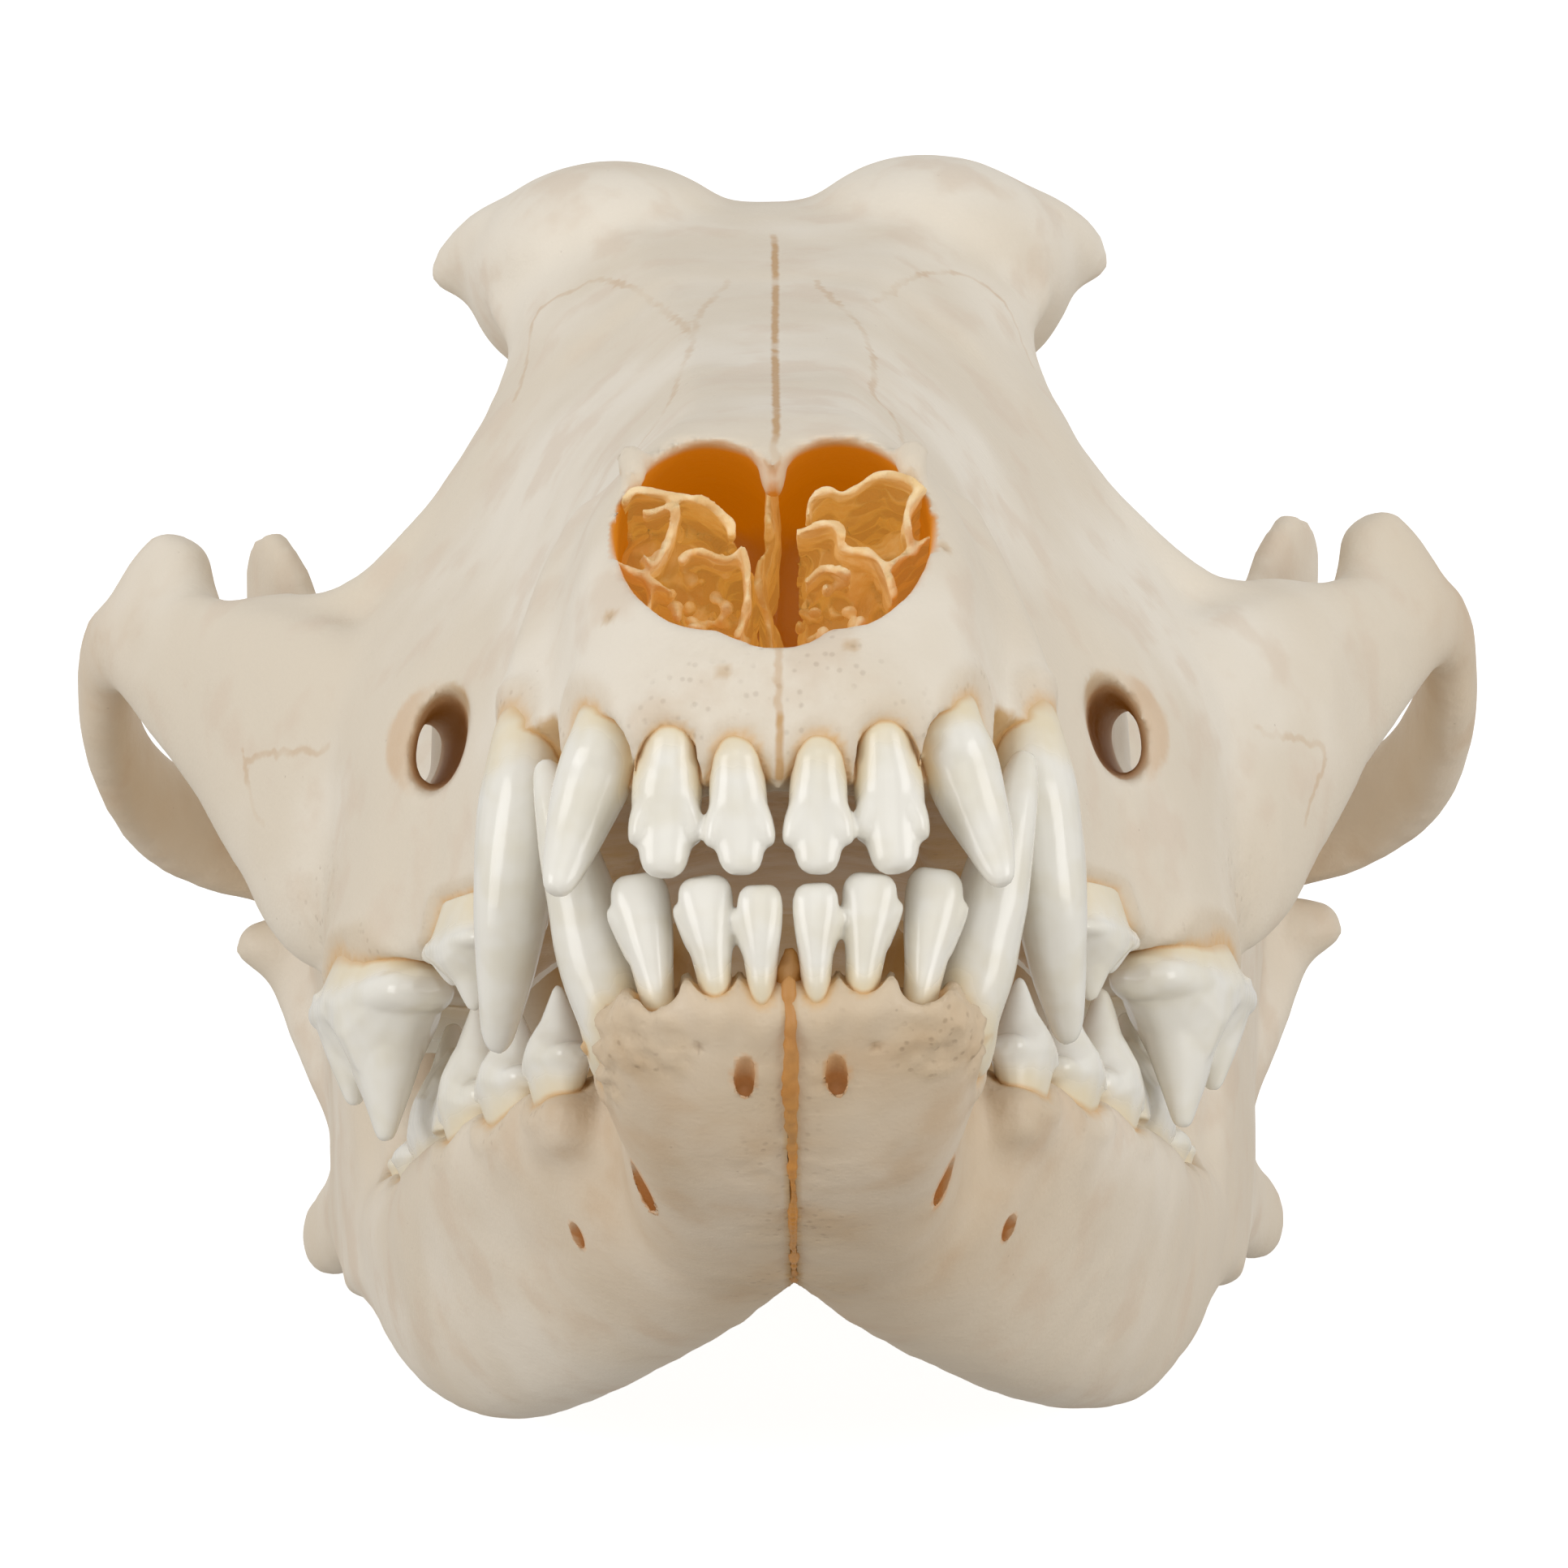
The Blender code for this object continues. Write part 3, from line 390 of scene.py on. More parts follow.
class Workpiece:
    """A mesh object that is shaped in the skull's frame."""

    def __init__(self, name: str, shells: Iterable[Shell]) -> None:
        """Makes one object that holds each shell as its own closed surface, with its faces pointing out.

        Args:
            name: The object's name.
            shells: The surfaces.
        """
        mesh = bpy.data.meshes.new(name)
        bm = bmesh.new()
        for shell in shells:
            corners = [bm.verts.new(p) for p in shell.points * MM]
            made = [bm.faces.new([corners[i] for i in face]) for face in shell.faces]
            bmesh.ops.recalc_face_normals(bm, faces=made)
        bmesh.ops.triangulate(bm, faces=bm.faces)
        bm.to_mesh(mesh)
        bm.free()
        self.obj = new_object(name, mesh)

    def mirrored_copy(self, name: str) -> "Workpiece":
        """A mirror image of the piece as it is now.

        Args:
            name: The new object's name.

        Returns:
            The new piece.
        """
        other = Workpiece(name, [])
        other.obj.data = self.obj.data.copy()
        other.obj.data.transform(Matrix.Scale(-1, 4, (1, 0, 0)))
        other.obj.data.flip_normals()
        return other

    def settle(self) -> None:
        """Replaces the mesh by the one that the modifiers make."""
        graph = bpy.context.evaluated_depsgraph_get()
        mesh = bpy.data.meshes.new_from_object(self.obj.evaluated_get(graph), depsgraph=graph)
        self.obj.modifiers.clear()
        self.obj.data = mesh

    def remelt(self, voxel: float, relax_steps: int) -> None:
        """Melts overlapping surfaces into one of even small faces.

        Args:
            voxel: Size of the faces in millimetres.
            relax_steps: How often the surface is smoothed.
        """
        remesh = self.obj.modifiers.new("melt", "REMESH")
        remesh.mode = "VOXEL"
        remesh.voxel_size = voxel * MM
        relax = self.obj.modifiers.new("relax", "SMOOTH")
        relax.factor = 0.5
        relax.iterations = relax_steps
        self.settle()

    def add(self, others: Iterable["Workpiece"]) -> None:
        """Puts the surfaces of other pieces into this one, to be melted in later, and deletes the others.

        Args:
            others: The other pieces.
        """
        bm = bmesh.new()
        bm.from_mesh(self.obj.data)
        for other in others:
            bm.from_mesh(other.obj.data)
            other.remove()
        bm.to_mesh(self.obj.data)
        bm.free()

    def cut(self, others: Sequence["Workpiece"]) -> None:
        """Cuts others, which are then deleted, out of the piece.

        Args:
            others: The other pieces.
        """
        group = bpy.data.collections.new("helpers")
        bpy.context.scene.collection.children.link(group)
        for other in others:
            group.objects.link(other.obj)
        boolean = self.obj.modifiers.new("cut", "BOOLEAN")
        boolean.operation = "DIFFERENCE"
        boolean.operand_type = "COLLECTION"
        boolean.collection = group
        boolean.solver = "MANIFOLD"
        self.settle()
        for other in others:
            other.remove()
        bpy.data.collections.remove(group)

    def remove(self) -> None:
        """Deletes the object."""
        bpy.data.objects.remove(self.obj)

    def read(self, source: bpy.types.bpy_prop_collection, name: str) -> np.ndarray:
        """One row of three numbers for each point, from the mesh's own list.

        Args:
            source: A list of the mesh with one entry for each point.
            name: What is read of each entry.

        Returns:
            The rows.
        """
        flat = np.empty(len(self.obj.data.vertices) * 3)
        source.foreach_get(name, flat)
        return flat.reshape(-1, 3)

    def points(self) -> np.ndarray:
        """The points in millimetres."""
        return self.read(self.obj.data.vertices, "co") / MM

    def move_points(self, points: np.ndarray) -> None:
        """Sets the points, in millimetres."""
        self.obj.data.vertices.foreach_set("co", (points * MM).ravel())
        self.obj.data.update()

    def normals(self) -> np.ndarray:
        """The direction that the surface faces at each point."""
        return self.read(self.obj.data.vertex_normals, "vector")

    def distance(self, places: np.ndarray, reach: float) -> np.ndarray:
        """Distance of places from the surface.

        Args:
            places: Places in millimetres.
            reach: Distances above this are given as this.

        Returns:
            One distance in millimetres for each place.
        """
        bm = bmesh.new()
        bm.from_mesh(self.obj.data)
        tree = BVHTree.FromBMesh(bm)
        bm.free()
        found = np.full(len(places), reach)
        for i, place in enumerate(places * MM):
            gap = tree.find_nearest(place, reach * MM)[3]
            if gap is not None:
                found[i] = gap / MM
        return found

    def paint(self, name: str, values: np.ndarray) -> None:
        """Stores one number for each point, for the material to read."""
        layer = self.obj.data.attributes.new(name, "FLOAT", "POINT")
        layer.data.foreach_set("value", values.astype(np.float32))

    def finish(self, material: bpy.types.Material, slot: Slot, replaced: Sequence[str] = ()) -> None:
        """Lays the piece in the row's frame, dresses it and rides it on the skull.

        Args:
            material: Its finish.
            slot: The record's slot; not used.
            replaced: The plain nodes that it stands for.
        """
        mesh = self.obj.data
        mesh.transform(POSE)
        mesh.materials.clear()
        mesh.materials.append(material)
        mesh.shade_smooth()
        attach(self.obj, "root")
        if replaced:
            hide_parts(*replaced)
        LOG.info("%s: %d faces", self.obj.name, len(mesh.polygons))


@dataclass(frozen=True)
class Pit:
    """A small hole in the bone's surface, dented in, with painted shade in it."""

    x: float
    y: float
    z: float
    radius: float
    depth: float
    # Strength of the painted shade in the hole.
    pit_shade: float = 0.8


@dataclass(frozen=True)
class Seam:
    """A line where two bones have grown together, as rows of x, y, z."""

    path: Rows
    wave: float = 0.2
    strength: float = 0.3


class Seams:
    """The seams of a bone, for the material and for a shallow groove."""

    FAR = 5.0

    def __init__(self, seams: Sequence[Seam], seed: int, step: float = 0.6) -> None:
        """Makes each line wavy.

        Args:
            seams: The lines.
            seed: For the waves.
            step: Length of a wave's sides, in millimetres.
        """
        rng = np.random.default_rng(seed)
        self.lines = []
        for seam in seams:
            path = resample(seam.path, 12)
            length = np.concatenate([[0], np.cumsum(np.linalg.norm(np.diff(path, axis=0), axis=1))])
            places = np.arange(0, length[-1], step)
            even = np.stack([np.interp(places, length, path[:, i]) for i in range(3)], axis=1)
            self.lines.append((even + rng.uniform(-seam.wave, seam.wave, even.shape), seam.strength))

    def measure(self, points: np.ndarray, normals: np.ndarray) -> tuple[np.ndarray, np.ndarray, np.ndarray]:
        """Distances from the nearest line, cut off at FAR.

        Args:
            points: Places on the bone.
            normals: Where the bone faces there.

        Returns:
            The distance across the line, with its sign, the true distance, and the line's strength.
        """
        signed = np.full(len(points), self.FAR)
        near = np.full(len(points), self.FAR)
        strong = np.zeros(len(points))
        for line, strength in self.lines:
            low, high = line.min(axis=0) - self.FAR, line.max(axis=0) + self.FAR
            chosen = np.nonzero(((points > low) & (points < high)).all(axis=1))[0]
            for start, stop in zip(line[:-1], line[1:]):
                span = stop - start
                offset = points[chosen] - start
                share = np.clip(offset @ span / (span @ span), 0, 1)
                gap = offset - share[:, None] * span
                distance = np.linalg.norm(gap, axis=1)
                closer = distance < near[chosen]
                index = chosen[closer]
                near[index] = distance[closer]
                strong[index] = strength
                side = np.cross(normals[index], span / np.linalg.norm(span))
                signed[index] = np.einsum("ij,ij->i", gap[closer], side)
        return signed, near, strong


class Wire:
    """A number that a material works out for each place. Arithmetic on it adds Math nodes."""

    def __init__(self, graph: "Graph", socket: bpy.types.NodeSocket) -> None:
        """Holds an output socket of a graph."""
        self.graph = graph
        self.socket = socket

    def math(self, operation: str, *values: "Wire | float") -> "Wire":
        """The result of a Math node on these values."""
        node = self.graph.node("ShaderNodeMath", {"operation": operation}, dict(enumerate(values)))
        return Wire(self.graph, node.outputs[0])

    def __add__(self, other: "Wire | float") -> "Wire":
        """The sum."""
        return self.math("ADD", self, other)

    def __radd__(self, other: float) -> "Wire":
        """The sum, with the wire second."""
        return self.math("ADD", other, self)

    def __sub__(self, other: "Wire | float") -> "Wire":
        """The difference."""
        return self.math("SUBTRACT", self, other)

    def __rsub__(self, other: float) -> "Wire":
        """The difference, with the wire second."""
        return self.math("SUBTRACT", other, self)

    def __mul__(self, other: "Wire | float") -> "Wire":
        """The product."""
        return self.math("MULTIPLY", self, other)

    def __rmul__(self, other: float) -> "Wire":
        """The product, with the wire second."""
        return self.math("MULTIPLY", other, self)

    def __abs__(self) -> "Wire":
        """The value without its sign."""
        return self.math("ABSOLUTE", self)

    def rise(self, low: float, high: float) -> "Wire":
        """A smooth rise from 0 at low to 1 at high.

        Args:
            low: Where it starts.
            high: Where it ends.

        Returns:
            The share between 0 and 1.
        """
        sockets = {"Value": self, "From Min": low, "From Max": high}
        node = self.graph.node("ShaderNodeMapRange", {"interpolation_type": "SMOOTHSTEP"}, sockets)
        return Wire(self.graph, node.outputs["Result"])

    def fall(self, low: float, high: float) -> "Wire":
        """A smooth fall from 1 at low to 0 at high."""
        return 1 - self.rise(low, high)


class NodeSet:
    """The nodes of a material or of the world."""

    def __init__(self, tree: bpy.types.NodeTree) -> None:
        """Holds the node tree."""
        self.tree = tree

    def feed(self, node: bpy.types.Node, sockets: Mapping[str | int, object]) -> None:
        """Sets or links sockets of a node, by name or number.

        Args:
            node: The node.
            sockets: A value or a link for each socket.
        """
        for key, value in sockets.items():
            socket = node.inputs[key]
            if isinstance(value, Wire):
                self.tree.links.new(value.socket, socket)
            elif isinstance(value, bpy.types.NodeSocket):
                self.tree.links.new(value, socket)
            elif isinstance(value, tuple) and len(value) == 3 and len(socket.default_value) == 4:
                socket.default_value = (*value, 1.0)
            else:
                socket.default_value = value

    def node(
        self, kind: str, settings: Mapping[str, object], sockets: Mapping[str | int, object]
    ) -> bpy.types.Node:
        """Adds a node.

        Args:
            kind: Its type.
            settings: Its properties, which are set first.
            sockets: Values or links of its sockets, by name or number.

        Returns:
            The node.
        """
        made = self.tree.nodes.new(kind)
        for key, value in settings.items():
            setattr(made, key, value)
        self.feed(made, sockets)
        return made


class Graph(NodeSet):
    """The nodes of one material."""

    def __init__(self, name: str, constants: Mapping[str, object]) -> None:
        """Makes the material.

        Args:
            name: Its name.
            constants: Values of the shader's sockets that are the same all over.
        """
        self.material = bpy.data.materials.new(name)
        self.material.use_nodes = True
        super().__init__(self.material.node_tree)
        self.shader = self.tree.nodes["Principled BSDF"]
        self.feed(self.shader, constants)
        self.place = self.node("ShaderNodeTexCoord", {}, {}).outputs["Object"]

    def attribute(self, name: str) -> Wire:
        """A number stored on the mesh."""
        return Wire(self, self.node("ShaderNodeAttribute", {"attribute_name": name}, {}).outputs["Fac"])

    def noise(self, size: float, detail: float = 2.0, stretch: Row = (1, 1, 1)) -> Wire:
        """Cloudy values around 0.5.

        Args:
            size: Size of the clouds in millimetres.
            detail: How many finer layers are added.
            stretch: How much denser the clouds are along each axis.

        Returns:
            The values.
        """
        place = self.place
        if stretch != (1, 1, 1):
            scaled = self.node("ShaderNodeVectorMath", {"operation": "MULTIPLY"}, {0: place, 1: stretch})
            place = scaled.outputs[0]
        sockets = {"Vector": place, "Scale": 1 / (size * MM), "Detail": detail}
        return Wire(self, self.node("ShaderNodeTexNoise", {}, sockets).outputs["Fac"])

    def cells(self, size: float) -> Wire:
        """Distance from the middles of random cells, as a share of their size in millimetres."""
        node = self.node("ShaderNodeTexVoronoi", {}, {"Vector": self.place, "Scale": 1 / (size * MM)})
        return Wire(self, node.outputs["Distance"])

    def blend(self, low: object, high: object, share: Wire) -> bpy.types.NodeSocket:
        """A colour between two colours."""
        node = self.node("ShaderNodeMix", {"data_type": "RGBA"}, {0: share, 6: low, 7: high})
        return node.outputs[2]

    def bump(self, height: Wire, depth: float, strength: float) -> None:
        """Gives the surface relief.

        Args:
            height: The relief, from 0 to 1.
            depth: Its depth in millimetres.
            strength: How much of it shows.
        """
        sockets = {"Height": height, "Distance": depth * MM, "Strength": strength}
        node = self.node("ShaderNodeBump", {}, sockets)
        self.feed(self.shader, {"Normal": node.outputs["Normal"]})


@dataclass(frozen=True)
class DryBone:
    """Dry, cleaned bone: cream, with ochre stains near the teeth and ochre painted shade under the chin and
    palate, porous in places, with painted shade in its pores and pits, and painted shade and a painted orange
    glow deep in the nose and holes.
    """

    name: str = "dry_bone"
    pale: Colour = (0.86, 0.79, 0.68)
    cream: Colour = (0.78, 0.69, 0.56)
    rose: Colour = (0.74, 0.61, 0.48)
    tan: Colour = (0.58, 0.45, 0.29)
    ochre: Colour = (0.56, 0.34, 0.13)
    gum: Colour = (0.72, 0.43, 0.16)
    seam: Colour = (0.58, 0.36, 0.17)
    # Dark brown of the painted shade in pores and pits and of random specks; on the chin joint, its own dark
    # brown.
    pore: Colour = (0.22, 0.13, 0.07)
    # Orange brown painted shade deep in the nose and holes; on the chin joint, its own brown tint.
    deep: Colour = (0.50, 0.18, 0.01)
    # Painted orange glow deep in the nose, in the holes and on the chin joint.
    painted_glow: Colour = (0.66, 0.23, 0.0)
    roughness: float = 0.5

    def material(self) -> bpy.types.Material:
        """Builds the finish.

        Returns:
            The material.
        """
        g = Graph(self.name, {"Emission Strength": PAINTED_GLOW_STRENGTH, "Specular IOR Level": 0.4})
        broad, patch, fine = g.noise(22, 3), g.noise(6, 3), g.noise(0.9, 2)
        warm, coarse, dark = g.attribute("warm"), g.attribute("coarse"), g.attribute("dark")
        inside = g.attribute("inside")
        colour = g.blend(self.pale, self.cream, broad.rise(0.34, 0.6))
        colour = g.blend(colour, self.rose, 0.5 * patch.rise(0.5, 0.68))
        colour = g.blend(colour, self.tan, 0.55 * coarse * (0.5 + fine))
        # Ochre: stains near the teeth, pits, holes, tunnels, cheek arches and the chin joint, and painted
        # shade over the lower jaw, under the chin and on the roof of the mouth.
        colour = g.blend(colour, self.ochre, warm * (0.45 + patch))
        # Painted shade in the pores of coarse bone, and random dark specks.
        pores = g.cells(0.9).fall(0.1, 0.3) * coarse
        specks = g.cells(1.7).fall(0.03, 0.08) * g.noise(5).rise(0.55, 0.64)
        colour = g.blend(colour, self.pore, 0.6 * pores * patch.rise(0.4, 0.56) + 0.25 * specks)
        strength = g.attribute("seam_strength")
        line = g.attribute("seam") + 0.9 * (1.1 - strength) * (fine - 0.5)
        crack = abs(line).fall(0.08, 0.4) * g.attribute("seam_near").fall(0.9, 1.6)
        crack = crack * strength * (0.3 + patch.rise(0.35, 0.6))
        colour = g.blend(colour, self.seam, crack)
        colour = g.blend(colour, self.gum, g.attribute("gum") * (0.35 + fine))
        # Painted shade in the pits; on the chin joint, its own dark brown.
        colour = g.blend(colour, self.pore, dark)
        # Painted shade deep in the nose and holes; on the chin joint, its brown tint.
        colour = g.blend(colour, self.deep, inside)
        g.bump(0.5 * fine + 0.4 * g.noise(0.35, 1) - 0.8 * pores, 0.16, 0.5)
        g.feed(g.shader, {
            "Base Color": colour,
            "Roughness": self.roughness + 0.18 * coarse + 0.12 * (fine - 0.5),
            # Painted glow deep in the nose, in the holes and on the chin joint.
            "Emission Color": g.blend((0.0, 0.0, 0.0), self.painted_glow, inside),
        })
        return g.material


@dataclass(frozen=True)
class Enamel:
    """Glossy enamel, milky at the crown and ochre where it meets the bone, with faint upright lines."""

    name: str = "enamel"
    crown: Colour = (0.89, 0.865, 0.79)
    milky: Colour = (0.84, 0.80, 0.69)
    neck: Colour = (0.82, 0.66, 0.36)
    root: Colour = (0.72, 0.46, 0.20)

    def material(self) -> bpy.types.Material:
        """Builds the finish.

        Returns:
            The material.
        """
        g = Graph(self.name, {"Coat Weight": 0.3, "Coat Roughness": 0.1})
        height = g.attribute("height")
        streak = g.noise(0.9, 2, stretch=(1, 1, 0.15))
        colour = g.blend(self.crown, self.milky, g.noise(3.5, 2).rise(0.4, 0.7))
        uneven = height + 0.8 * (g.noise(1.6, 2) - 0.5)
        colour = g.blend(colour, self.neck, 0.55 * uneven.fall(0.1, 1.9))
        colour = g.blend(colour, self.root, 0.8 * height.fall(0.0, 0.35))
        g.bump(streak, 0.04, 0.25)
        g.feed(g.shader, {"Base Color": colour, "Roughness": 0.24 + 0.2 * uneven.fall(0.0, 1.5)})
        return g.material


@dataclass(frozen=True)
class ScrollBone:
    """The nose's paper-thin bone: light tan with whitish crumbled rims, painted shade in the middles of its
    cells, and a painted glow as if lit through.
    """

    name: str = "scroll_bone"
    sheet: Colour = (0.78, 0.56, 0.28)
    rim: Colour = (0.84, 0.68, 0.44)
    shade: Colour = (0.52, 0.25, 0.05)
    # Painted glow of the sheets, as if lit through; weaker at the rims.
    painted_glow: Colour = (0.52, 0.31, 0.06)
    rim_painted_glow: Colour = (0.3, 0.19, 0.06)

    def material(self) -> bpy.types.Material:
        """Builds the finish.

        Returns:
            The material.
        """
        g = Graph(self.name, {"Roughness": 0.55, "Emission Strength": PAINTED_GLOW_STRENGTH})
        crumble = g.noise(0.9, 4)
        rim = g.attribute("rim")
        walls = g.cells(2.6).rise(0.38, 0.62)
        # Painted shade in the middles of the cells, lighter on their walls.
        colour = g.blend(self.shade, self.sheet, 0.35 + 0.65 * walls)
        colour = g.blend(colour, self.rim, 0.7 * walls * crumble.rise(0.45, 0.6))
        colour = g.blend(colour, self.rim, rim * (0.3 + crumble))
        g.bump(0.5 * crumble + 0.7 * walls, 0.5, 0.7)
        # Painted glow, weaker at the rims.
        painted_glow = g.blend(self.painted_glow, self.rim_painted_glow, rim)
        g.feed(g.shader, {"Base Color": colour, "Emission Color": painted_glow})
        return g.material


@dataclass(frozen=True)
class StudioFloor:
    """The plain pale floor."""

    name: str = "studio_floor"
    pale: Colour = (0.4, 0.4, 0.4)
    white: Colour = (1.0, 1.0, 1.0)
    lift: float = 0.9

    def material(self) -> bpy.types.Material:
        """Builds the finish.

        Returns:
            The material.
        """
        constants = {
            "Base Color": self.pale,
            "Roughness": 0.9,
            "Emission Color": self.white,
            "Emission Strength": self.lift,
            "Specular IOR Level": 0.1,
        }
        return Graph(self.name, constants).material


@dataclass(frozen=True)
class Blade:
    """A shearing tooth: its middle, its neck's level, its heading in degrees, half sizes and cusps."""

    x: float
    y: float
    neck: float
    heading: float
    half_length: float
    half_width: float
    cusps: Rows

    def place(self, along: np.ndarray | float, across: np.ndarray | float = 0.0) -> tuple:
        """The x and y of a place along and across the tooth.

        Args:
            along: Millimetres from its middle towards the back.
            across: Millimetres aside.

        Returns:
            The place.
        """
        turn = math.radians(self.heading)
        x = self.x + along * math.sin(turn) + across * math.cos(turn)
        return x, self.y + along * math.cos(turn) - across * math.sin(turn)


@dataclass(frozen=True)
class Teeth:
    """The teeth of one jaw, as crowns with their roots in the bone. Sizes are those of the left side."""

    name: str
    down: bool
    pegs: Mapping[str, tuple]
    blades: Mapping[str, Blade]
    grinders: Mapping[str, Row]
    shift: float = 0.0
    root_depth: float = 2.6
    root_lean: float = 3.4
    root_share: float = 0.65
    cusp_dip: float = 0.8
    tongue_taper: float = 0.25
    voxel: float = 0.22
    relax_steps: int = 7
    peg_sides: int = 24
    blade_sides: int = 40
    spade: Rows = (
        (0, 0.8, 0.96), (0.12, 0.92, 1), (0.35, 0.98, 0.94), (0.6, 1, 0.76), (0.78, 0.82, 0.6),
        (0.93, 0.66, 0.44), (1, 0.4, 0.26),
    )
    broad: Rows = (
        (0, 0.86, 0.96), (0.12, 1.04, 1), (0.35, 1.12, 0.94), (0.58, 1.06, 0.76), (0.78, 0.86, 0.6),
        (0.93, 0.7, 0.44), (1, 0.42, 0.26),
    )
    fan: Rows = (
        (0, 0.62, 1), (0.25, 0.72, 0.98), (0.6, 0.94, 0.78), (0.84, 1, 0.54), (0.95, 0.84, 0.4),
        (1, 0.56, 0.26),
    )
    spike: Rows = (
        (0, 0.9, 0.98), (0.2, 1, 0.96), (0.5, 0.86, 0.76), (0.8, 0.58, 0.48), (0.95, 0.38, 0.32),
        (1, 0.2, 0.18),
    )
    upper_lobe: Rows = (
        (0.36, 0.4, 0.5, 0.68), (0.56, 0.76, 0.4, 0.56), (0.7, 0.9, 0.3, 0.44), (0.76, 0.93, 0.18, 0.26),
    )
    lower_lobe: Rows = (
        (0.4, 0.4, 0.5, 0.66), (0.58, 0.76, 0.38, 0.5), (0.7, 0.96, 0.3, 0.38), (0.75, 1, 0.18, 0.24),
    )
    blade: Rows = (
        (1, 0.66, 0.6, 0), (0, 0.9, 0.9, 0), (0, 1, 1.06, 0.2), (0, 1, 0.98, 0.4), (0, 0.95, 0.66, 0.6),
        (0, 0.88, 0.32, 0.76), (0, 0.84, 0.14, 0.84),
    )
    cusp_cone: Rows = ((0.05, 1), (0.3, 0.94), (0.6, 0.66), (0.85, 0.36), (0.97, 0.2), (1, 0.1))
    grinder: Rows = ((1, 0.7, 0), (0, 0.96, 0), (0, 0.98, 0.4), (0, 0.82, 1), (0, 0.4, 0.45))
    mouth: Rows = ((-0.06, 0.3), (0, 0.72), (0.1, 0.98), (0.35, 1.1), (0.8, 1.2))
    mouth_reach: float = 2.4
    mouth_depth: float = 0.3
    belt: Rows = ((-1, 0.3), (-0.88, 0.72), (-0.5, 0.95), (0, 1), (0.5, 0.95), (0.88, 0.72), (1, 0.3))
    belt_rise: float = 0.16
    belt_wide: float = 1.02
    belt_high: float = 0.17
    socket_rise: float = -3.4
    socket_wide: float = 0.9
    socket_high: float = 2.6
    cusp_wide: float = 0.86
    cusp_long: float = 0.42
    cusp_room: float = 0.62
    streaks: Row = (0.05, 1.6)
    streak_stretch: Row = (1, 1, 0.35)
    swells: Row = (0.08, 3.1)
    stain_reach: float = 4.0

    def peg(
        self, neck: Row, tip: Row, half_width: float, half_depth: float, bow: float, shares: Rows
    ) -> Shell:
        """A tooth with one point: its root, then a crown whose width runs across and depth runs back.

        Args:
            neck: Where it leaves the bone.
            tip: Its tip.
            half_width: Half its size across.
            half_depth: Half its size back.
            bow: How far back its middle line bends.
            shares: Share of the height, then of the half width and of the half depth.

        Returns:
            The closed tooth.
        """
        start, axis = np.array(neck), np.array(tip) - np.array(neck)
        root = start + np.array((0, self.root_lean, -math.copysign(self.root_depth, axis[2])))
        rows = [(*root, half_width * self.root_share, half_depth * self.root_share)]
        for share, wide, deep in shares:
            point = start + axis * share + np.array((0, bow * 4 * share * (1 - share), 0))
            rows.append((*point, half_width * wide, half_depth * deep))
        return limb(tuple(rows), up=(0, 1, 0), steps=4, sides=self.peg_sides, power=2.2)

    def side_lobes(self, neck: Row, tip: Row, half_width: float, half_depth: float) -> list[Shell]:
        """The small lobes beside the main one of a cutting tooth: two above, and only the outer one below.

        Args:
            neck: Where it leaves the bone.
            tip: Its tip.
            half_width: Half its size across.
            half_depth: Half its size back.

        Returns:
            The closed lobes.
        """
        start, axis = np.array(neck), np.array(tip) - np.array(neck)
        lobes = []
        for side in (-1, 1) if self.down else (1,):
            rows = []
            for share, aside, wide, deep in self.upper_lobe if self.down else self.lower_lobe:
                point = start + axis * share + np.array((side * half_width * aside, 0, 0))
                rows.append((*point, half_width * wide, half_depth * deep))
            lobes.append(limb(tuple(rows), up=(0, 1, 0), steps=4, sides=self.peg_sides))
        return lobes

    @property
    def growth(self) -> int:
        """Which way along Z the crowns stand."""
        return -1 if self.down else 1

    def blade_tooth(self, tooth: Blade) -> Shell:
        """A shearing tooth: an oval neck that narrows to a ridge of cusps along its length.

        Args:
            tooth: Its sizes.

        Returns:
            The closed tooth.
        """
        angle = np.arange(self.blade_sides) * 2 * math.pi / self.blade_sides
        along, across = np.cos(angle), np.sin(angle)
        ridge = look_up(along, tooth.cusps)
        rings = []
        for sunk, long, wide, share in self.blade:
            x, y = tooth.place(along * long * tooth.half_length, across * wide * tooth.half_width)
            height = ridge * share - sunk * self.root_depth
            rings.append(np.stack([x, y, tooth.neck + height * self.growth], axis=1))
        return closed_tube(rings)

    def cusp_cones(self, tooth: Blade) -> list[Shell]:
        """The rounded points on a shearing tooth's ridge, each a cone on the tooth's base.

        Args:
            tooth: Its sizes.

        Returns:
            The closed cones.
        """
        turn = math.radians(tooth.heading)
        across = (math.cos(turn), -math.sin(turn), 0)
        cones = []
        for place, height in tooth.cusps[1:-1]:
            point = tooth.place(place * tooth.half_length)
            room = self.cusp_room * tooth.half_length * (1.1 - abs(place))
            long, wide = min(self.cusp_long * height, room), tooth.half_width * self.cusp_wide
            rows = tuple(
                (*point, tooth.neck + height * share * self.growth, long * size, wide * size)
                for share, size in self.cusp_cone
            )
            cones.append(limb(rows, up=across, steps=4, sides=self.peg_sides))
        return cones

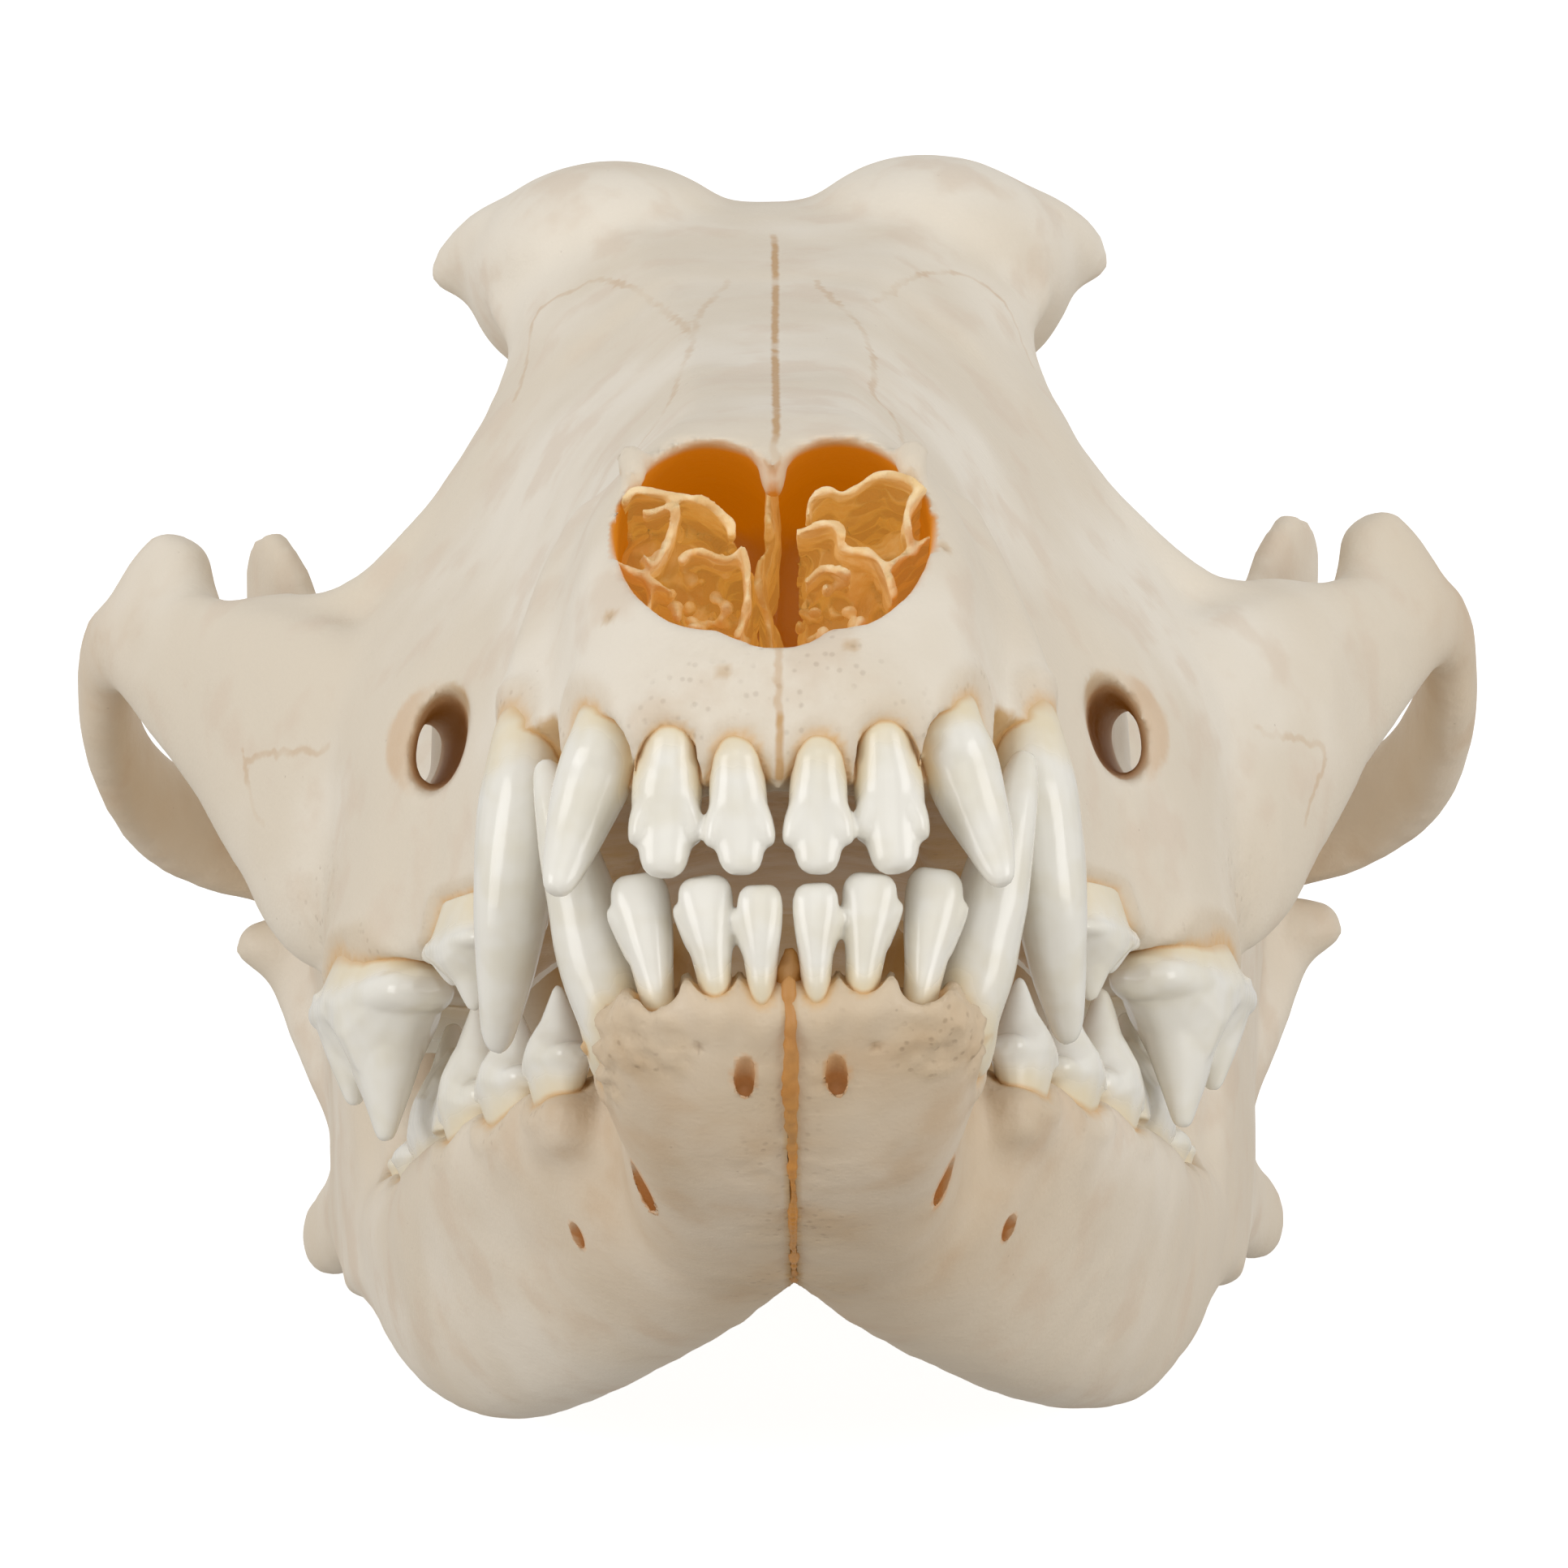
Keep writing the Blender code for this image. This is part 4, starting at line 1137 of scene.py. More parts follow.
    def belt_bar(self, tooth: Blade, rise: float, wide: float, high: float) -> Shell:
        """A bar along a shearing tooth.

        Args:
            tooth: The tooth.
            rise: How far the bar's middle line is out of the bone, in millimetres.
            wide: Its half width, as a share of the tooth's.
            high: Its half height in millimetres.

        Returns:
            The closed bar.
        """
        level = tooth.neck + rise * self.growth
        rows = tuple(
            (*tooth.place(place * tooth.half_length), level, tooth.half_width * wide * size, high * size)
            for place, size in self.belt
        )
        return limb(rows, sides=self.peg_sides)

    def belts(self) -> list[Shell]:
        """The swollen belts of the left shearing teeth, just out of the bone.

        Returns:
            The closed belts.
        """
        made = []
        for tooth in self.blades.values():
            highest = max(height for _, height in tooth.cusps)
            rise, high = self.belt_rise * highest, self.belt_high * highest
            made.append(self.belt_bar(tooth, rise, self.belt_wide, high))
        return made

    def socket_rims(self) -> list[Shell]:
        """The bone that holds the left shearing teeth."""
        sizes = (self.socket_rise, self.socket_wide, self.socket_high)
        return [self.belt_bar(tooth, *sizes) for tooth in self.blades.values()]

    def grinding_tooth(self, row: Row) -> Shell:
        """An upper molar: broad across the palate, high on the cheek side, with a hollow crown.

        Args:
            row: x, y, neck's z, half size across, half size back, and its two cusps' heights.

        Returns:
            The closed tooth.
        """
        x, y, neck, across, along, cheek_cusp, tongue_cusp = row
        angle = np.arange(self.blade_sides) * 2 * math.pi / self.blade_sides
        c, s = np.cos(angle), np.sin(angle)
        rim = tongue_cusp + (cheek_cusp - tongue_cusp) * (c + 1) / 2 - self.cusp_dip * np.cos(2 * angle) ** 2
        taper = 1 - self.tongue_taper * (1 - c) / 2
        rings = []
        for sunk, wide, share in self.grinder:
            px, py = x + c * wide * across, y + s * wide * along * taper
            rings.append(np.stack([px, py, neck + sunk * self.root_depth - rim * share], axis=1))
        return closed_tube(rings)

    def outline(self, name: str) -> Rows:
        """The shape of a one-rooted tooth's crown.

        Args:
            name: The tooth's name.

        Returns:
            Share of the height, then of the half width and of the half depth.
        """
        if name == "canine" or (name == "incisor_3" and self.down):
            return self.spike
        if not self.down:
            return self.fan
        return self.broad if name == "incisor_2" else self.spade

    def shells(self) -> list[Shell]:
        """The teeth of the left side.

        Returns:
            The closed surfaces, which overlap.
        """
        made = []
        for name, (neck, tip, half_width, half_depth, bow) in self.pegs.items():
            shares = self.outline(name)
            made.append(self.peg(neck, tip, half_width, half_depth, bow, shares))
            if shares is not self.spike:
                made.extend(self.side_lobes(neck, tip, half_width, half_depth))
        for tooth in self.blades.values():
            made.append(self.blade_tooth(tooth))
            made.extend(self.cusp_cones(tooth))
        made.extend(self.belts())
        made.extend(self.grinding_tooth(row) for row in self.grinders.values())
        return made

    def socket_mouths(self) -> list[Shell]:
        """What is cleared of bone before the left cutting teeth, up to an arched edge at their necks.

        Returns:
            One closed surface for each tooth.
        """
        made = []
        for name, (neck, tip, half_width, _, _) in self.pegs.items():
            if name != "canine":
                start, axis = np.array(neck) - (0, self.mouth_reach, 0), np.array(tip) - np.array(neck)
                rows = tuple(
                    (*(start + axis * share), half_width * size, self.mouth_reach + self.mouth_depth)
                    for share, size in self.mouth
                )
                made.append(limb(rows, up=(0, 1, 0), sides=self.peg_sides, power=2.6))
        return made

    def necks(self) -> list[Row]:
        """Where each left tooth leaves the bone: x, y, z, half size across and half size back.

        Returns:
            One row for each tooth.
        """
        rows = [(*neck, wide, deep) for neck, _, wide, deep, _ in self.pegs.values()]
        rows += [(b.x, b.y, b.neck, b.half_width, b.half_length) for b in self.blades.values()]
        rows += [(x, y, z, across, along) for x, y, z, across, along, _, _ in self.grinders.values()]
        return rows

    def rim_closeness(self, points: np.ndarray) -> tuple[np.ndarray, np.ndarray]:
        """How places lie to the nearest tooth's neck, on either side of the head.

        Args:
            points: Places in millimetres.

        Returns:
            How far out of the bone each is, in millimetres, and how far aside as a share of the neck's size.
        """
        folded = points.copy()
        folded[:, 0] = np.abs(points[:, 0] - self.shift)
        height, best = np.zeros(len(points)), np.full(len(points), 99.0)
        for x, y, z, half_across, half_along in self.necks():
            rise = (folded[:, 2] - z) * self.growth
            gap = np.hypot((folded[:, 0] - x) / half_across, (folded[:, 1] - y) / half_along)
            closer = gap < best
            best[closer], height[closer] = gap[closer], rise[closer]
        return height, best

    def shape(self) -> Workpiece:
        """Makes the teeth of both sides.

        Returns:
            The melted teeth.
        """
        piece = Workpiece(self.name, both_sides(*self.shells()))
        piece.move_points(piece.points() + (self.shift, 0, 0))
        piece.remelt(self.voxel, self.relax_steps)
        points, normals = piece.points(), piece.normals()
        uneven = Noise(11).waves(points * self.streak_stretch, self.streaks)
        uneven += Noise(12).waves(points, self.swells)
        piece.move_points(points + normals * uneven[:, None])
        return piece

    def dress(self, piece: Workpiece, bones: Sequence[Workpiece], material: bpy.types.Material) -> None:
        """Stains the teeth where they stand in the bone.

        Args:
            piece: The teeth.
            bones: The bones that hold them.
            material: Their finish.
        """
        points = piece.points()
        heights = [bone.distance(points, self.stain_reach) for bone in bones]
        piece.paint("height", np.min(heights, axis=0))
        piece.finish(material, Slot.TOOTH)


UPPER_TEETH = Teeth(
    name="upper_teeth",
    down=True,
    pegs={
        "incisor_1": ((2.75, 2.3, -1.4), (2.5, 1.95, -9), 2, 2.05, 0.3),
        "incisor_2": ((7.1, 3.7, 0), (7.7, 2.8, -8.9), 2.1, 2.6, 0.4),
        "incisor_3": ((11.4, 6.4, 1), (14.9, 5.2, -9.6), 2.6, 3, 0.6),
        "canine": ((16.9, 18.9, 1.2), (19.4, 23.3, -17.6), 3.1, 4.7, -2.2),
    },
    blades={
        "premolar_1": Blade(16.9, 31.5, -3.8, 8, 3, 1.8, ((-1, 1.4), (-0.2, 4.2), (1, 1.2))),
        "premolar_2": Blade(18.6, 41.5, -4.6, 13, 5.2, 2.2, ((-1, 1.6), (-0.2, 5.6), (0.6, 2.6), (1, 1.4))),
        "premolar_3": Blade(22.2, 53.5, -5.4, 22, 6, 2.5, ((-1, 1.6), (-0.1, 5.6), (0.6, 3.2), (1, 1.6))),
        "premolar_4": Blade(
            29.4, 70.6, -6, 23, 9.4, 3.6, ((-1, 3.4), (-0.1, 12.2), (0.3, 6.8), (0.6, 8.8), (1, 4))
        ),
    },
    grinders={
        "molar_1": (27.4, 86.2, -5.2, 7, 5.6, 6.4, 3.8),
        "molar_2": (25.6, 94.6, -3.4, 4.8, 3, 4.2, 2.8),
    },
)
LOWER_TEETH = Teeth(
    name="lower_teeth",
    down=False,
    shift=0.5,
    belt_wide=0.9,
    pegs={
        "incisor_1": ((1.8, 6, -16.2), (1.85, 3, -9.6), 1.5, 1.9, -0.2),
        "incisor_2": ((4.9, 6.8, -16), (5.6, 4, -8.8), 1.85, 2.2, -0.2),
        "incisor_3": ((8.7, 8.9, -16.8), (10, 6.8, -8.2), 1.95, 2.5, -0.2),
        "canine": ((11.8, 14.6, -16.8), (16.2, 12.2, 0.4), 2.7, 3.5, -1.2),
    },
    blades={
        "premolar_1": Blade(10.6, 28.6, -16.6, 16, 2.3, 1.6, ((-1, 1), (0, 3.2), (1, 1))),
        "premolar_2": Blade(16.3, 40.4, -17.2, 20, 4.5, 2.1, ((-1, 1.4), (-0.1, 6.2), (0.6, 2.4), (1, 1.4))),
        "premolar_3": Blade(19.7, 50.8, -17.6, 17, 5.2, 2.4, ((-1, 1.4), (-0.1, 6.6), (0.6, 3), (1, 1.4))),
        "premolar_4": Blade(22.6, 62.2, -17.8, 14, 5.8, 2.7, ((-1, 1.6), (-0.05, 8.8), (0.55, 4.8), (1, 2))),
        "molar_1": Blade(
            24.8, 77.4, -18, 10, 10.4, 3.2, ((-1, 3), (-0.7, 7), (0.05, 9.4), (0.4, 4), (1, 3.2))
        ),
        "molar_2": Blade(27, 92.4, -17.6, 12, 4.2, 3, ((-1, 2.2), (-0.4, 3.8), (0.3, 3.2), (1, 1.8))),
        "molar_3": Blade(28.6, 99, -17, 10, 2.3, 2.1, ((-1, 1.4), (0, 2.2), (1, 1.2))),
    },
    grinders={},
)


@dataclass(frozen=True)
class BoneDetail:
    """The small relief and stains of a bone, and the painted shade of its pits."""

    pits: tuple[Pit, ...]
    seams: Seams
    teeth: Teeth
    coarse_spots: Rows
    seed: int
    wide_waves: Row = (0.22, 9.0)
    small_waves: Row = (0.06, 2.6)
    rubble: Row = (0.28, 1.1)
    fine_rubble: Row = (0.168, 0.6)
    groove: Row = (0.05, 0, 0.4)
    lip: Row = (0.25, 1.1, 0.5)
    notch: Row = (0.25, 0, 0.45)
    gum_reach: float = 2.0
    gum_aside: float = 2.4
    gum_height: float = 7.0
    coarse_core: float = 0.35
    coarse_most: float = 0.5

    def gum(self, points: np.ndarray, crowns: Workpiece) -> np.ndarray:
        """Distance from the teeth, worked out only for points near a neck.

        Args:
            points: Places in millimetres.
            crowns: The teeth.

        Returns:
            One distance for each place, at most gum_reach.
        """
        height, aside = self.teeth.rim_closeness(points)
        close = np.nonzero((aside < self.gum_aside) & (np.abs(height) < self.gum_height))[0]
        found = np.full(len(points), self.gum_reach)
        found[close] = crowns.distance(points[close], self.gum_reach)
        return found

    def carve(self, piece: Workpiece, crowns: Workpiece, inside: np.ndarray, warm: np.ndarray) -> None:
        """Moves the points of a piece and stores what its material reads.

        Args:
            piece: The bone, in its final faces.
            crowns: The teeth that stand in it.
            inside: How far each point is inside the nose or a hole, from 0 to 1; the material paints it as
                shade and glow.
            warm: How ochre each point is, from 0 to 1.
        """
        points, normals = piece.points(), piece.normals()
        noise = Noise(self.seed)
        coarse = np.zeros(len(points))
        for x, y, z, reach, strength in self.coarse_spots:
            distance = np.linalg.norm(points - (x, y, z), axis=1)
            coarse = np.maximum(coarse, strength * smooth_step(distance, reach, self.coarse_core * reach))
        signed, near, strong = self.seams.measure(points, normals)
        push = noise.waves(points, self.wide_waves, self.small_waves)
        push += coarse * noise.waves(points, self.rubble, self.fine_rubble)
        push -= strong * bell(near, *self.groove)
        dark = np.zeros(len(points))
        for pit in self.pits:
            distance = np.linalg.norm(points - (pit.x, pit.y, pit.z), axis=1) / pit.radius
            push -= pit.depth * np.exp(-(distance**2.5))
            # Painted shade in each pit, and an ochre stain round it.
            dark = np.maximum(dark, pit.pit_shade * smooth_step(distance, 0.95, 0.3))
            warm = np.maximum(warm, 0.5 * smooth_step(distance, 2.6, 1.0))
        gap = self.gum(points, crowns)
        push += bell(gap, *self.lip) - bell(gap, *self.notch)
        piece.move_points(points + normals * push[:, None])
        coarse = np.minimum(coarse, self.coarse_most)
        layers = {
            "warm": np.maximum(warm, 0.15 * smooth_step(gap, 1.6, 0.5)),
            "gum": 0.8 * smooth_step(gap, 0.6, 0.1),
            "coarse": np.maximum(coarse, 0.3 * smooth_step(gap, 1.9, 0.9)),
            "dark": dark,
            "inside": inside,
            "seam": signed,
            "seam_near": near,
            "seam_strength": strong,
        }
        for name, values in layers.items():
            piece.paint(name, values)


@dataclass(frozen=True)
class Cranium:
    """The upper skull: muzzle, orbits, cheek arches and braincase, grown together."""

    levels: Row = (0, 0.2, 0.42, 0.64, 0.84, 1)
    face: Rows = (
        (1, -2.4, 4.6, 7.6, 8.4, 8.8, 8.4, 7, 4), (4.5, -2.8, 9.5, 12.2, 12.8, 12.7, 11.8, 10.4, 7.5),
        (10, -3, 16.5, 14.4, 14.6, 14, 13.2, 12, 9), (16, -3.2, 21.8, 17.6, 17, 15.3, 13.9, 12, 8),
        (22, -3.5, 25.4, 19.2, 18.6, 16.8, 14.3, 11.4, 6.5),
        (32, -4.1, 28.9, 18.2, 18, 16.7, 14.2, 10.8, 5.5), (46, -5, 34, 20.6, 20, 18.4, 15.4, 11.6, 5.5),
        (57, -5.8, 38.2, 25.4, 24.4, 22.2, 17.6, 13.2, 6),
        (67, -6.4, 42.3, 31.4, 29.8, 27.8, 20.6, 15, 6.6), (77, -6.7, 46.4, 34, 33, 31.6, 23.6, 16.6, 7.5),
        (85, -6.4, 49.8, 33.2, 34.2, 33.6, 26.2, 18.8, 8.8),
        (91, -4.6, 52.5, 30, 33.5, 34.2, 26.2, 19.4, 10.3), (96, -2.4, 54.8, 24, 30, 33, 24.8, 19.6, 11.6),
        (101, 1, 56.6, 16, 20, 24, 22.4, 19.6, 12.6),
    )
    head: Rows = (
        (80, 10, 48, 13, 15, 16, 16.5, 15.5, 8), (90, 11, 52.6, 13, 15, 16, 17.5, 18.2, 10),
        (98, 12.5, 56.4, 13, 14.5, 15, 17.5, 19.6, 12.5), (106, 13.5, 59.4, 13, 14.5, 15, 17.5, 20.8, 13),
        (112, 14, 60.6, 14, 15.5, 15.5, 17.2, 20.6, 13), (119, 14, 60.8, 16, 17.5, 17.5, 18, 18.5, 11.5),
        (127, 13, 60.6, 19.5, 21.5, 21.5, 20.5, 16.5, 8.5),
        (136, 11.5, 59.6, 23.5, 25.6, 25.2, 22.5, 16.5, 6), (147, 10, 59, 26, 28.2, 27.6, 24.2, 17.2, 6),
        (158, 8.5, 58.5, 26, 28.8, 28, 24.5, 17.5, 6), (169, 7.5, 57, 24, 28.5, 28, 24, 17, 6),
        (180, 7, 53, 20, 25.5, 25, 21.5, 15, 6), (188, 8.5, 45, 13, 18, 18, 15.5, 11, 5),
    )
    occiput: Rows = (
        (8, 0, 166, 0, 184, 27), (14, 0, 166, 0, 187.5, 29.5), (22, 0, 167, 0, 189.5, 30.5),
        (32, 0, 168, 0, 190, 28.5), (42, 0, 170, 0, 192, 23), (50, 0, 174, 0, 195.5, 14.5),
        (56, 0, 179, 0, 198.5, 5.5),
    )
    brow: Rows = ((12.4, 112, 54.7), (11.6, 17, 8.8))
    mastoid: Rows = ((26.5, 174, 19), (7, 10, 12))
    ear_bulla: Rows = ((16.2, 162, 4.8), (9.3, 12.5, 9))
    neck_knuckle: Rows = ((9.3, 189, 12.5), (5.6, 6.6, 7.6))
    brow_horn: Rows = (
        (13, 108, 57.2, 9, 4.4), (19.5, 111.5, 57.4, 6.5, 3.6), (23.8, 114, 56.5, 3.6, 2.5),
        (26.2, 115.5, 55.2, 1.5, 1.1),
    )
    orbit_rim: Rows = (
        (20.4, 104.5, 51.5, 1.8, 1.8), (18.2, 98, 46.5, 2, 2), (18.6, 92.5, 41, 2.2, 2.2),
        (21.6, 89.5, 35, 2.4, 2.4), (26, 88.8, 29.4, 2.4, 2.4), (32.5, 91.2, 24.6, 2.4, 2.4),
        (39.5, 98.5, 25.2, 2.4, 2.4),
    )
    cheek_arch: Rows = (
        (27, 80, 7, 4.6, 11), (31.6, 84.6, 8.4, 4.6, 12.6), (35.4, 89.4, 12.8, 4.2, 11.4),
        (38.9, 94.2, 16.4, 3.8, 9.8), (42.6, 100, 20, 3.3, 7.7), (46.6, 106, 23.6, 2.9, 5.9),
        (50.2, 112, 26.4, 2.6, 4.3), (52.6, 118.5, 26.4, 2.3, 3.7), (53.4, 126, 23.4, 2.3, 4.6),
        (52.2, 135, 19.5, 2.3, 4.7), (49.2, 142, 17, 2.5, 4.5), (43.5, 147, 15.1, 2.8, 4.3),
        (36, 149.5, 14.6, 3, 4.2),
    )
    cheek_horn: Rows = ((47.8, 109.5, 26, 3, 9), (47, 108.5, 30.4, 2.5, 6), (46, 107.4, 33.8, 1.8, 2.6))
    cheek_horn_lie: Row = (0.58, 0.81, 0)
    jaw_socket_root: Rows = (
        (22, 147, 17.5, 8, 5), (31, 149, 15.4, 6.5, 3.8), (41, 148.5, 14.6, 5, 3),
    )
    jaw_socket_stop: Rows = (
        (34, 153.8, 14, 5.5, 2.4), (34, 155.4, 8, 4.6, 2), (33.8, 155.6, 2.8, 2.8, 1.5),
    )
    temple_line: Rows = (
        (23, 115, 56.2, 2.4, 2), (15, 121.5, 58.8, 2.6, 2.2), (6, 129, 60, 2.4, 2.2),
        (0.5, 139, 60.3, 1.8, 2.2),
    )
    top_crest: Rows = (
        (0, 132, 58.5, 1.3, 3), (0, 150, 59, 1.3, 3.6), (0, 168, 59, 1.4, 4), (0, 184, 58, 1.6, 4),
        (0, 198, 56.5, 2.2, 3.4),
    )
    nape_crest: Rows = (
        (31.5, 174, 13, 2.8, 2.8), (32, 179, 22, 2.6, 2.6), (29.5, 184, 32, 2.4, 2.4),
        (23.5, 189, 42, 2.2, 2.2), (14, 194, 51, 2.2, 2.2), (5, 197.5, 56, 2.4, 2.4),
        (-2, 198.5, 57, 2.6, 2.6),
    )
    neck_process: Rows = (
        (23.5, 180, 12, 4, 3.2), (24.6, 182, 4, 2.6, 2.2), (25, 183, -2.5, 1.5, 1.3),
    )
    throat_plate: Rows = (
        (10.8, 90, 8.5, 1.7, 7.5), (11, 104, 10, 1.7, 7.5), (10.5, 117, 12.5, 1.6, 6.5),
        (9.8, 130, 14, 1.6, 5),
    )
    throat_hook: Rows = ((9.8, 129, 12, 2.4, 1.5), (9.9, 132, 8, 1.8, 1.3), (10.2, 134.5, 5, 1.2, 1.1))
    canine_swelling: Rows = (
        (16.7, 17.4, 0, 2.9, 4.4), (16.2, 21.6, 6, 2.9, 4), (14.4, 27.6, 14, 2.6, 3.6),
        (12, 34, 20.5, 2.4, 2.8),
    )
    nose_hole: Rows = (
        (4.5, -6, 15.6, 6.1, 7.9), (4.5, 24, 15.6, 6.1, 7.9), (4.5, 50, 17.8, 5.6, 8.4),
        (4.5, 58, 18.5, 4, 7),
    )
    nose_floor: Rows = ((0, -6, 12.2, 5.2, 6), (0, 24, 12.2, 5.2, 6), (0, 54, 14.5, 4.8, 5.4))
    palate_hollow: Rows = (
        (6, 4, 3.5, -12, -1, 2.6), (14, 10.5, 7.5, -12, 0.4, 2.6), (30, 12, 9, -13, 0.8, 2.6),
        (46, 14, 10.5, -14, 0.6, 2.6), (60, 18, 13.5, -15, 0.6, 2.6), (76, 22.5, 17, -16, 1, 2.6),
        (90, 22.5, 17.5, -16, 2, 2.6), (110, 22, 17, -16, 3, 2.6),
    )
    orbit_hollow: Rows = ((31.5, 107.5, 30), (16.5, 18, 21))
    tooth_gap: Rows = ((17.8, 12.2, -1.2), (5.6, 3.9, 5))
    cheek_hole: Rows = (
        (24.25, 46, 8.2, 2.2, 4.3), (24.45, 57, 9.4, 2.2, 4.3), (25.05, 74, 11.4, 1.8, 3),
        (27.65, 98, 14.4, 1.8, 3),
    )
    cheek_hole_lie: Row = (-0.27, 0, 1)
    throat_hole: Rows = (
        (80, 7.5, 7.5, 5, 12.5, 2.6), (100, 8.2, 8.2, 4, 13, 2.6), (124, 7.6, 7.6, -6, 13, 2.6),
        (140, 6, 6, -6, 10, 2.6),
    )
    neck_hole: Rows = ((0, 205, 22.5, 8.6, 7.6), (0, 190, 21.5, 8.6, 7.6), (0, 174, 21.5, 6.5, 6))
    ear_hole: Rows = ((38, 164, 12, 3.2, 3.2), (20, 164, 10, 2.8, 2.8))
    melt_voxel: float = 0.9
    melt_steps: int = 6
    fine_voxel: float = 0.5
    fine_steps: int = 3
    septa: tuple[Rows, ...] = (
        ((0, 3.4, 2, 1, 1.6), (0, 2.6, -1.2, 0.7, 1.2), (0, 2.4, -3, 0.4, 0.7)),
        ((4.9, 4.2, 2, 1, 1.8), (4.9, 3.2, -1.2, 0.7, 1.5), (4.9, 3, -3.2, 0.4, 0.8)),
        ((9.3, 6.4, 2.4, 1, 1.8), (9.4, 5, -0.8, 0.7, 1.5), (9.6, 4.8, -2.8, 0.4, 0.8)),
    )
    root_swellings: tuple[Rows, ...] = (
        ((2.75, 3.4, 1.8, 1.5, 1.4), (2.9, 4.6, 5.4, 1.2, 1)),
        ((7, 5, 2.2, 1.8, 1.7), (7, 6.6, 7, 1.3, 1.1)),
        ((11.2, 8, 2.8, 2, 2), (10.6, 10.4, 9, 1.4, 1.2)),
    )
    nasal_tips: tuple[Rows, ...] = (
        ((9.6, 17.2, 22, 1, 1.3), (9.4, 15.8, 20.8, 0.95, 1.1), (9.3, 15, 19.8, 0.7, 0.8)),
    )
    nasal_nub: Rows = ((0, 18.6, 21.2), (1, 2.2, 2.1))
    nose_middle: float = 15.0
    nose_rim: Rows = ((4.6, 1), (9.5, 4.5), (16.5, 10), (21.8, 16), (25.4, 22))
    nose_roof: Rows = ((0, 23.6), (24, 24), (50, 26.6), (60, 27))
    nose_end: float = 60.0
    mouth_width: Rows = ((0, 26), (76, 26), (90, 15), (130, 22))
    tunnel_end: float = 96.0
    tunnel_stain: float = 0.32
    # Painted glow and shade in the nerve tunnels.
    tunnel_painted_glow: float = 0.12
    # Brown painted shade, with some real brown, on the roof of the mouth and in the throat.
    roof_brown_and_shade: float = 0.95
    arch_stain: float = 0.3
    nodes: tuple[str, ...] = ("muzzle", "braincase", "zygomatic_arch_left", "zygomatic_arch_right")

    def raw_shells(self) -> list[Shell]:
        """The overlapping masses behind the face.

        Returns:
            The closed surfaces.
        """
        paired = (
            ball(*self.brow),
            ball(*self.mastoid),
            ball(*self.ear_bulla),
            ball(*self.neck_knuckle),
            limb(self.brow_horn),
            limb(self.orbit_rim),
            limb(self.cheek_arch),
            limb(self.cheek_horn, up=self.cheek_horn_lie),
            limb(self.jaw_socket_root),
            limb(self.jaw_socket_stop, up=(0, 1, 0)),
            limb(self.temple_line),
            limb(self.nape_crest, up=(0, 1, 0)),
            limb(self.neck_process, up=(0, 1, 0)),
            limb(self.throat_plate),
            limb(self.throat_hook, up=(1, 0, 0)),
            limb(self.canine_swelling, up=(0, 1, 0)),
        )
        midline = [lined_trunk(self.head, self.levels), upright_plate(self.occiput), limb(self.top_crest)]
        return midline + both_sides(*paired)

    def cutters(self) -> list[Workpiece]:
        """The hollows and holes of the upper skull.

        Returns:
            What is cut out.
        """
        nose_sides = both_sides(limb(self.nose_hole, sides=32, power=2.0))
        return [
            *(Workpiece("nose_hole", [side]) for side in nose_sides),
            Workpiece("nose_floor", [limb(self.nose_floor)]),
            Workpiece("palate_hollow", [trunk(self.palate_hollow)]),
            Workpiece("tooth_gaps", both_sides(ball(*self.tooth_gap))),
            Workpiece("cheek_holes", both_sides(limb(self.cheek_hole, up=self.cheek_hole_lie))),
            Workpiece("throat_hole", [trunk(self.throat_hole)]),
            Workpiece("neck_hole", [limb(self.neck_hole)]),
            Workpiece("ear_holes", both_sides(limb(self.ear_hole))),
        ]

    def shape(self, teeth: Teeth) -> Workpiece:
        """Melts the masses into one bone, hollows it and adds the small ridges round the front teeth.

        Args:
            teeth: The upper teeth.

        Returns:
            The bone.
        """
        whole = Workpiece("cranium_bone", [lined_trunk(self.face, self.levels)])
        whole.cut([Workpiece("orbit_hollows", both_sides(ball(*self.orbit_hollow)))])
        whole.add([Workpiece("masses", self.raw_shells())])
        whole.remelt(self.melt_voxel, self.melt_steps)
        whole.cut(self.cutters())
        ridges = [limb(rows, up=(0, 1, 0)) for rows in self.septa + self.root_swellings + self.nasal_tips]
        whole.add([Workpiece("ridges", both_sides(*ridges) + [ball(*self.nasal_nub)])])
        whole.remelt(self.fine_voxel, 0)
        whole.cut([Workpiece("socket_mouth", [mouth]) for mouth in both_sides(*teeth.socket_mouths())])
        whole.remelt(self.fine_voxel, self.fine_steps)
        return whole

    def nose_depth(self, points: np.ndarray, normals: np.ndarray) -> np.ndarray:
        """How far each point is inside the nose, from 0 at its rim to 1 deep in.

        Args:
            points: Places in millimetres.
            normals: Where the surface faces there.

        Returns:
            The shares.
        """
        x, y, z = points.T
        between = smooth_step(np.abs(x), 11.8, 10.9) * smooth_step(z, 5.0, 6.0)
        room = between * (z < look_up(y, self.nose_roof)) * (y < self.nose_end)
        inward = -x * normals[:, 0] + (self.nose_middle - z) * normals[:, 2]
        facing = smooth_step(inward, 1.5, 5.0)
        return room * facing * smooth_step(y - look_up(z, self.nose_rim), 0.9, 3.4)

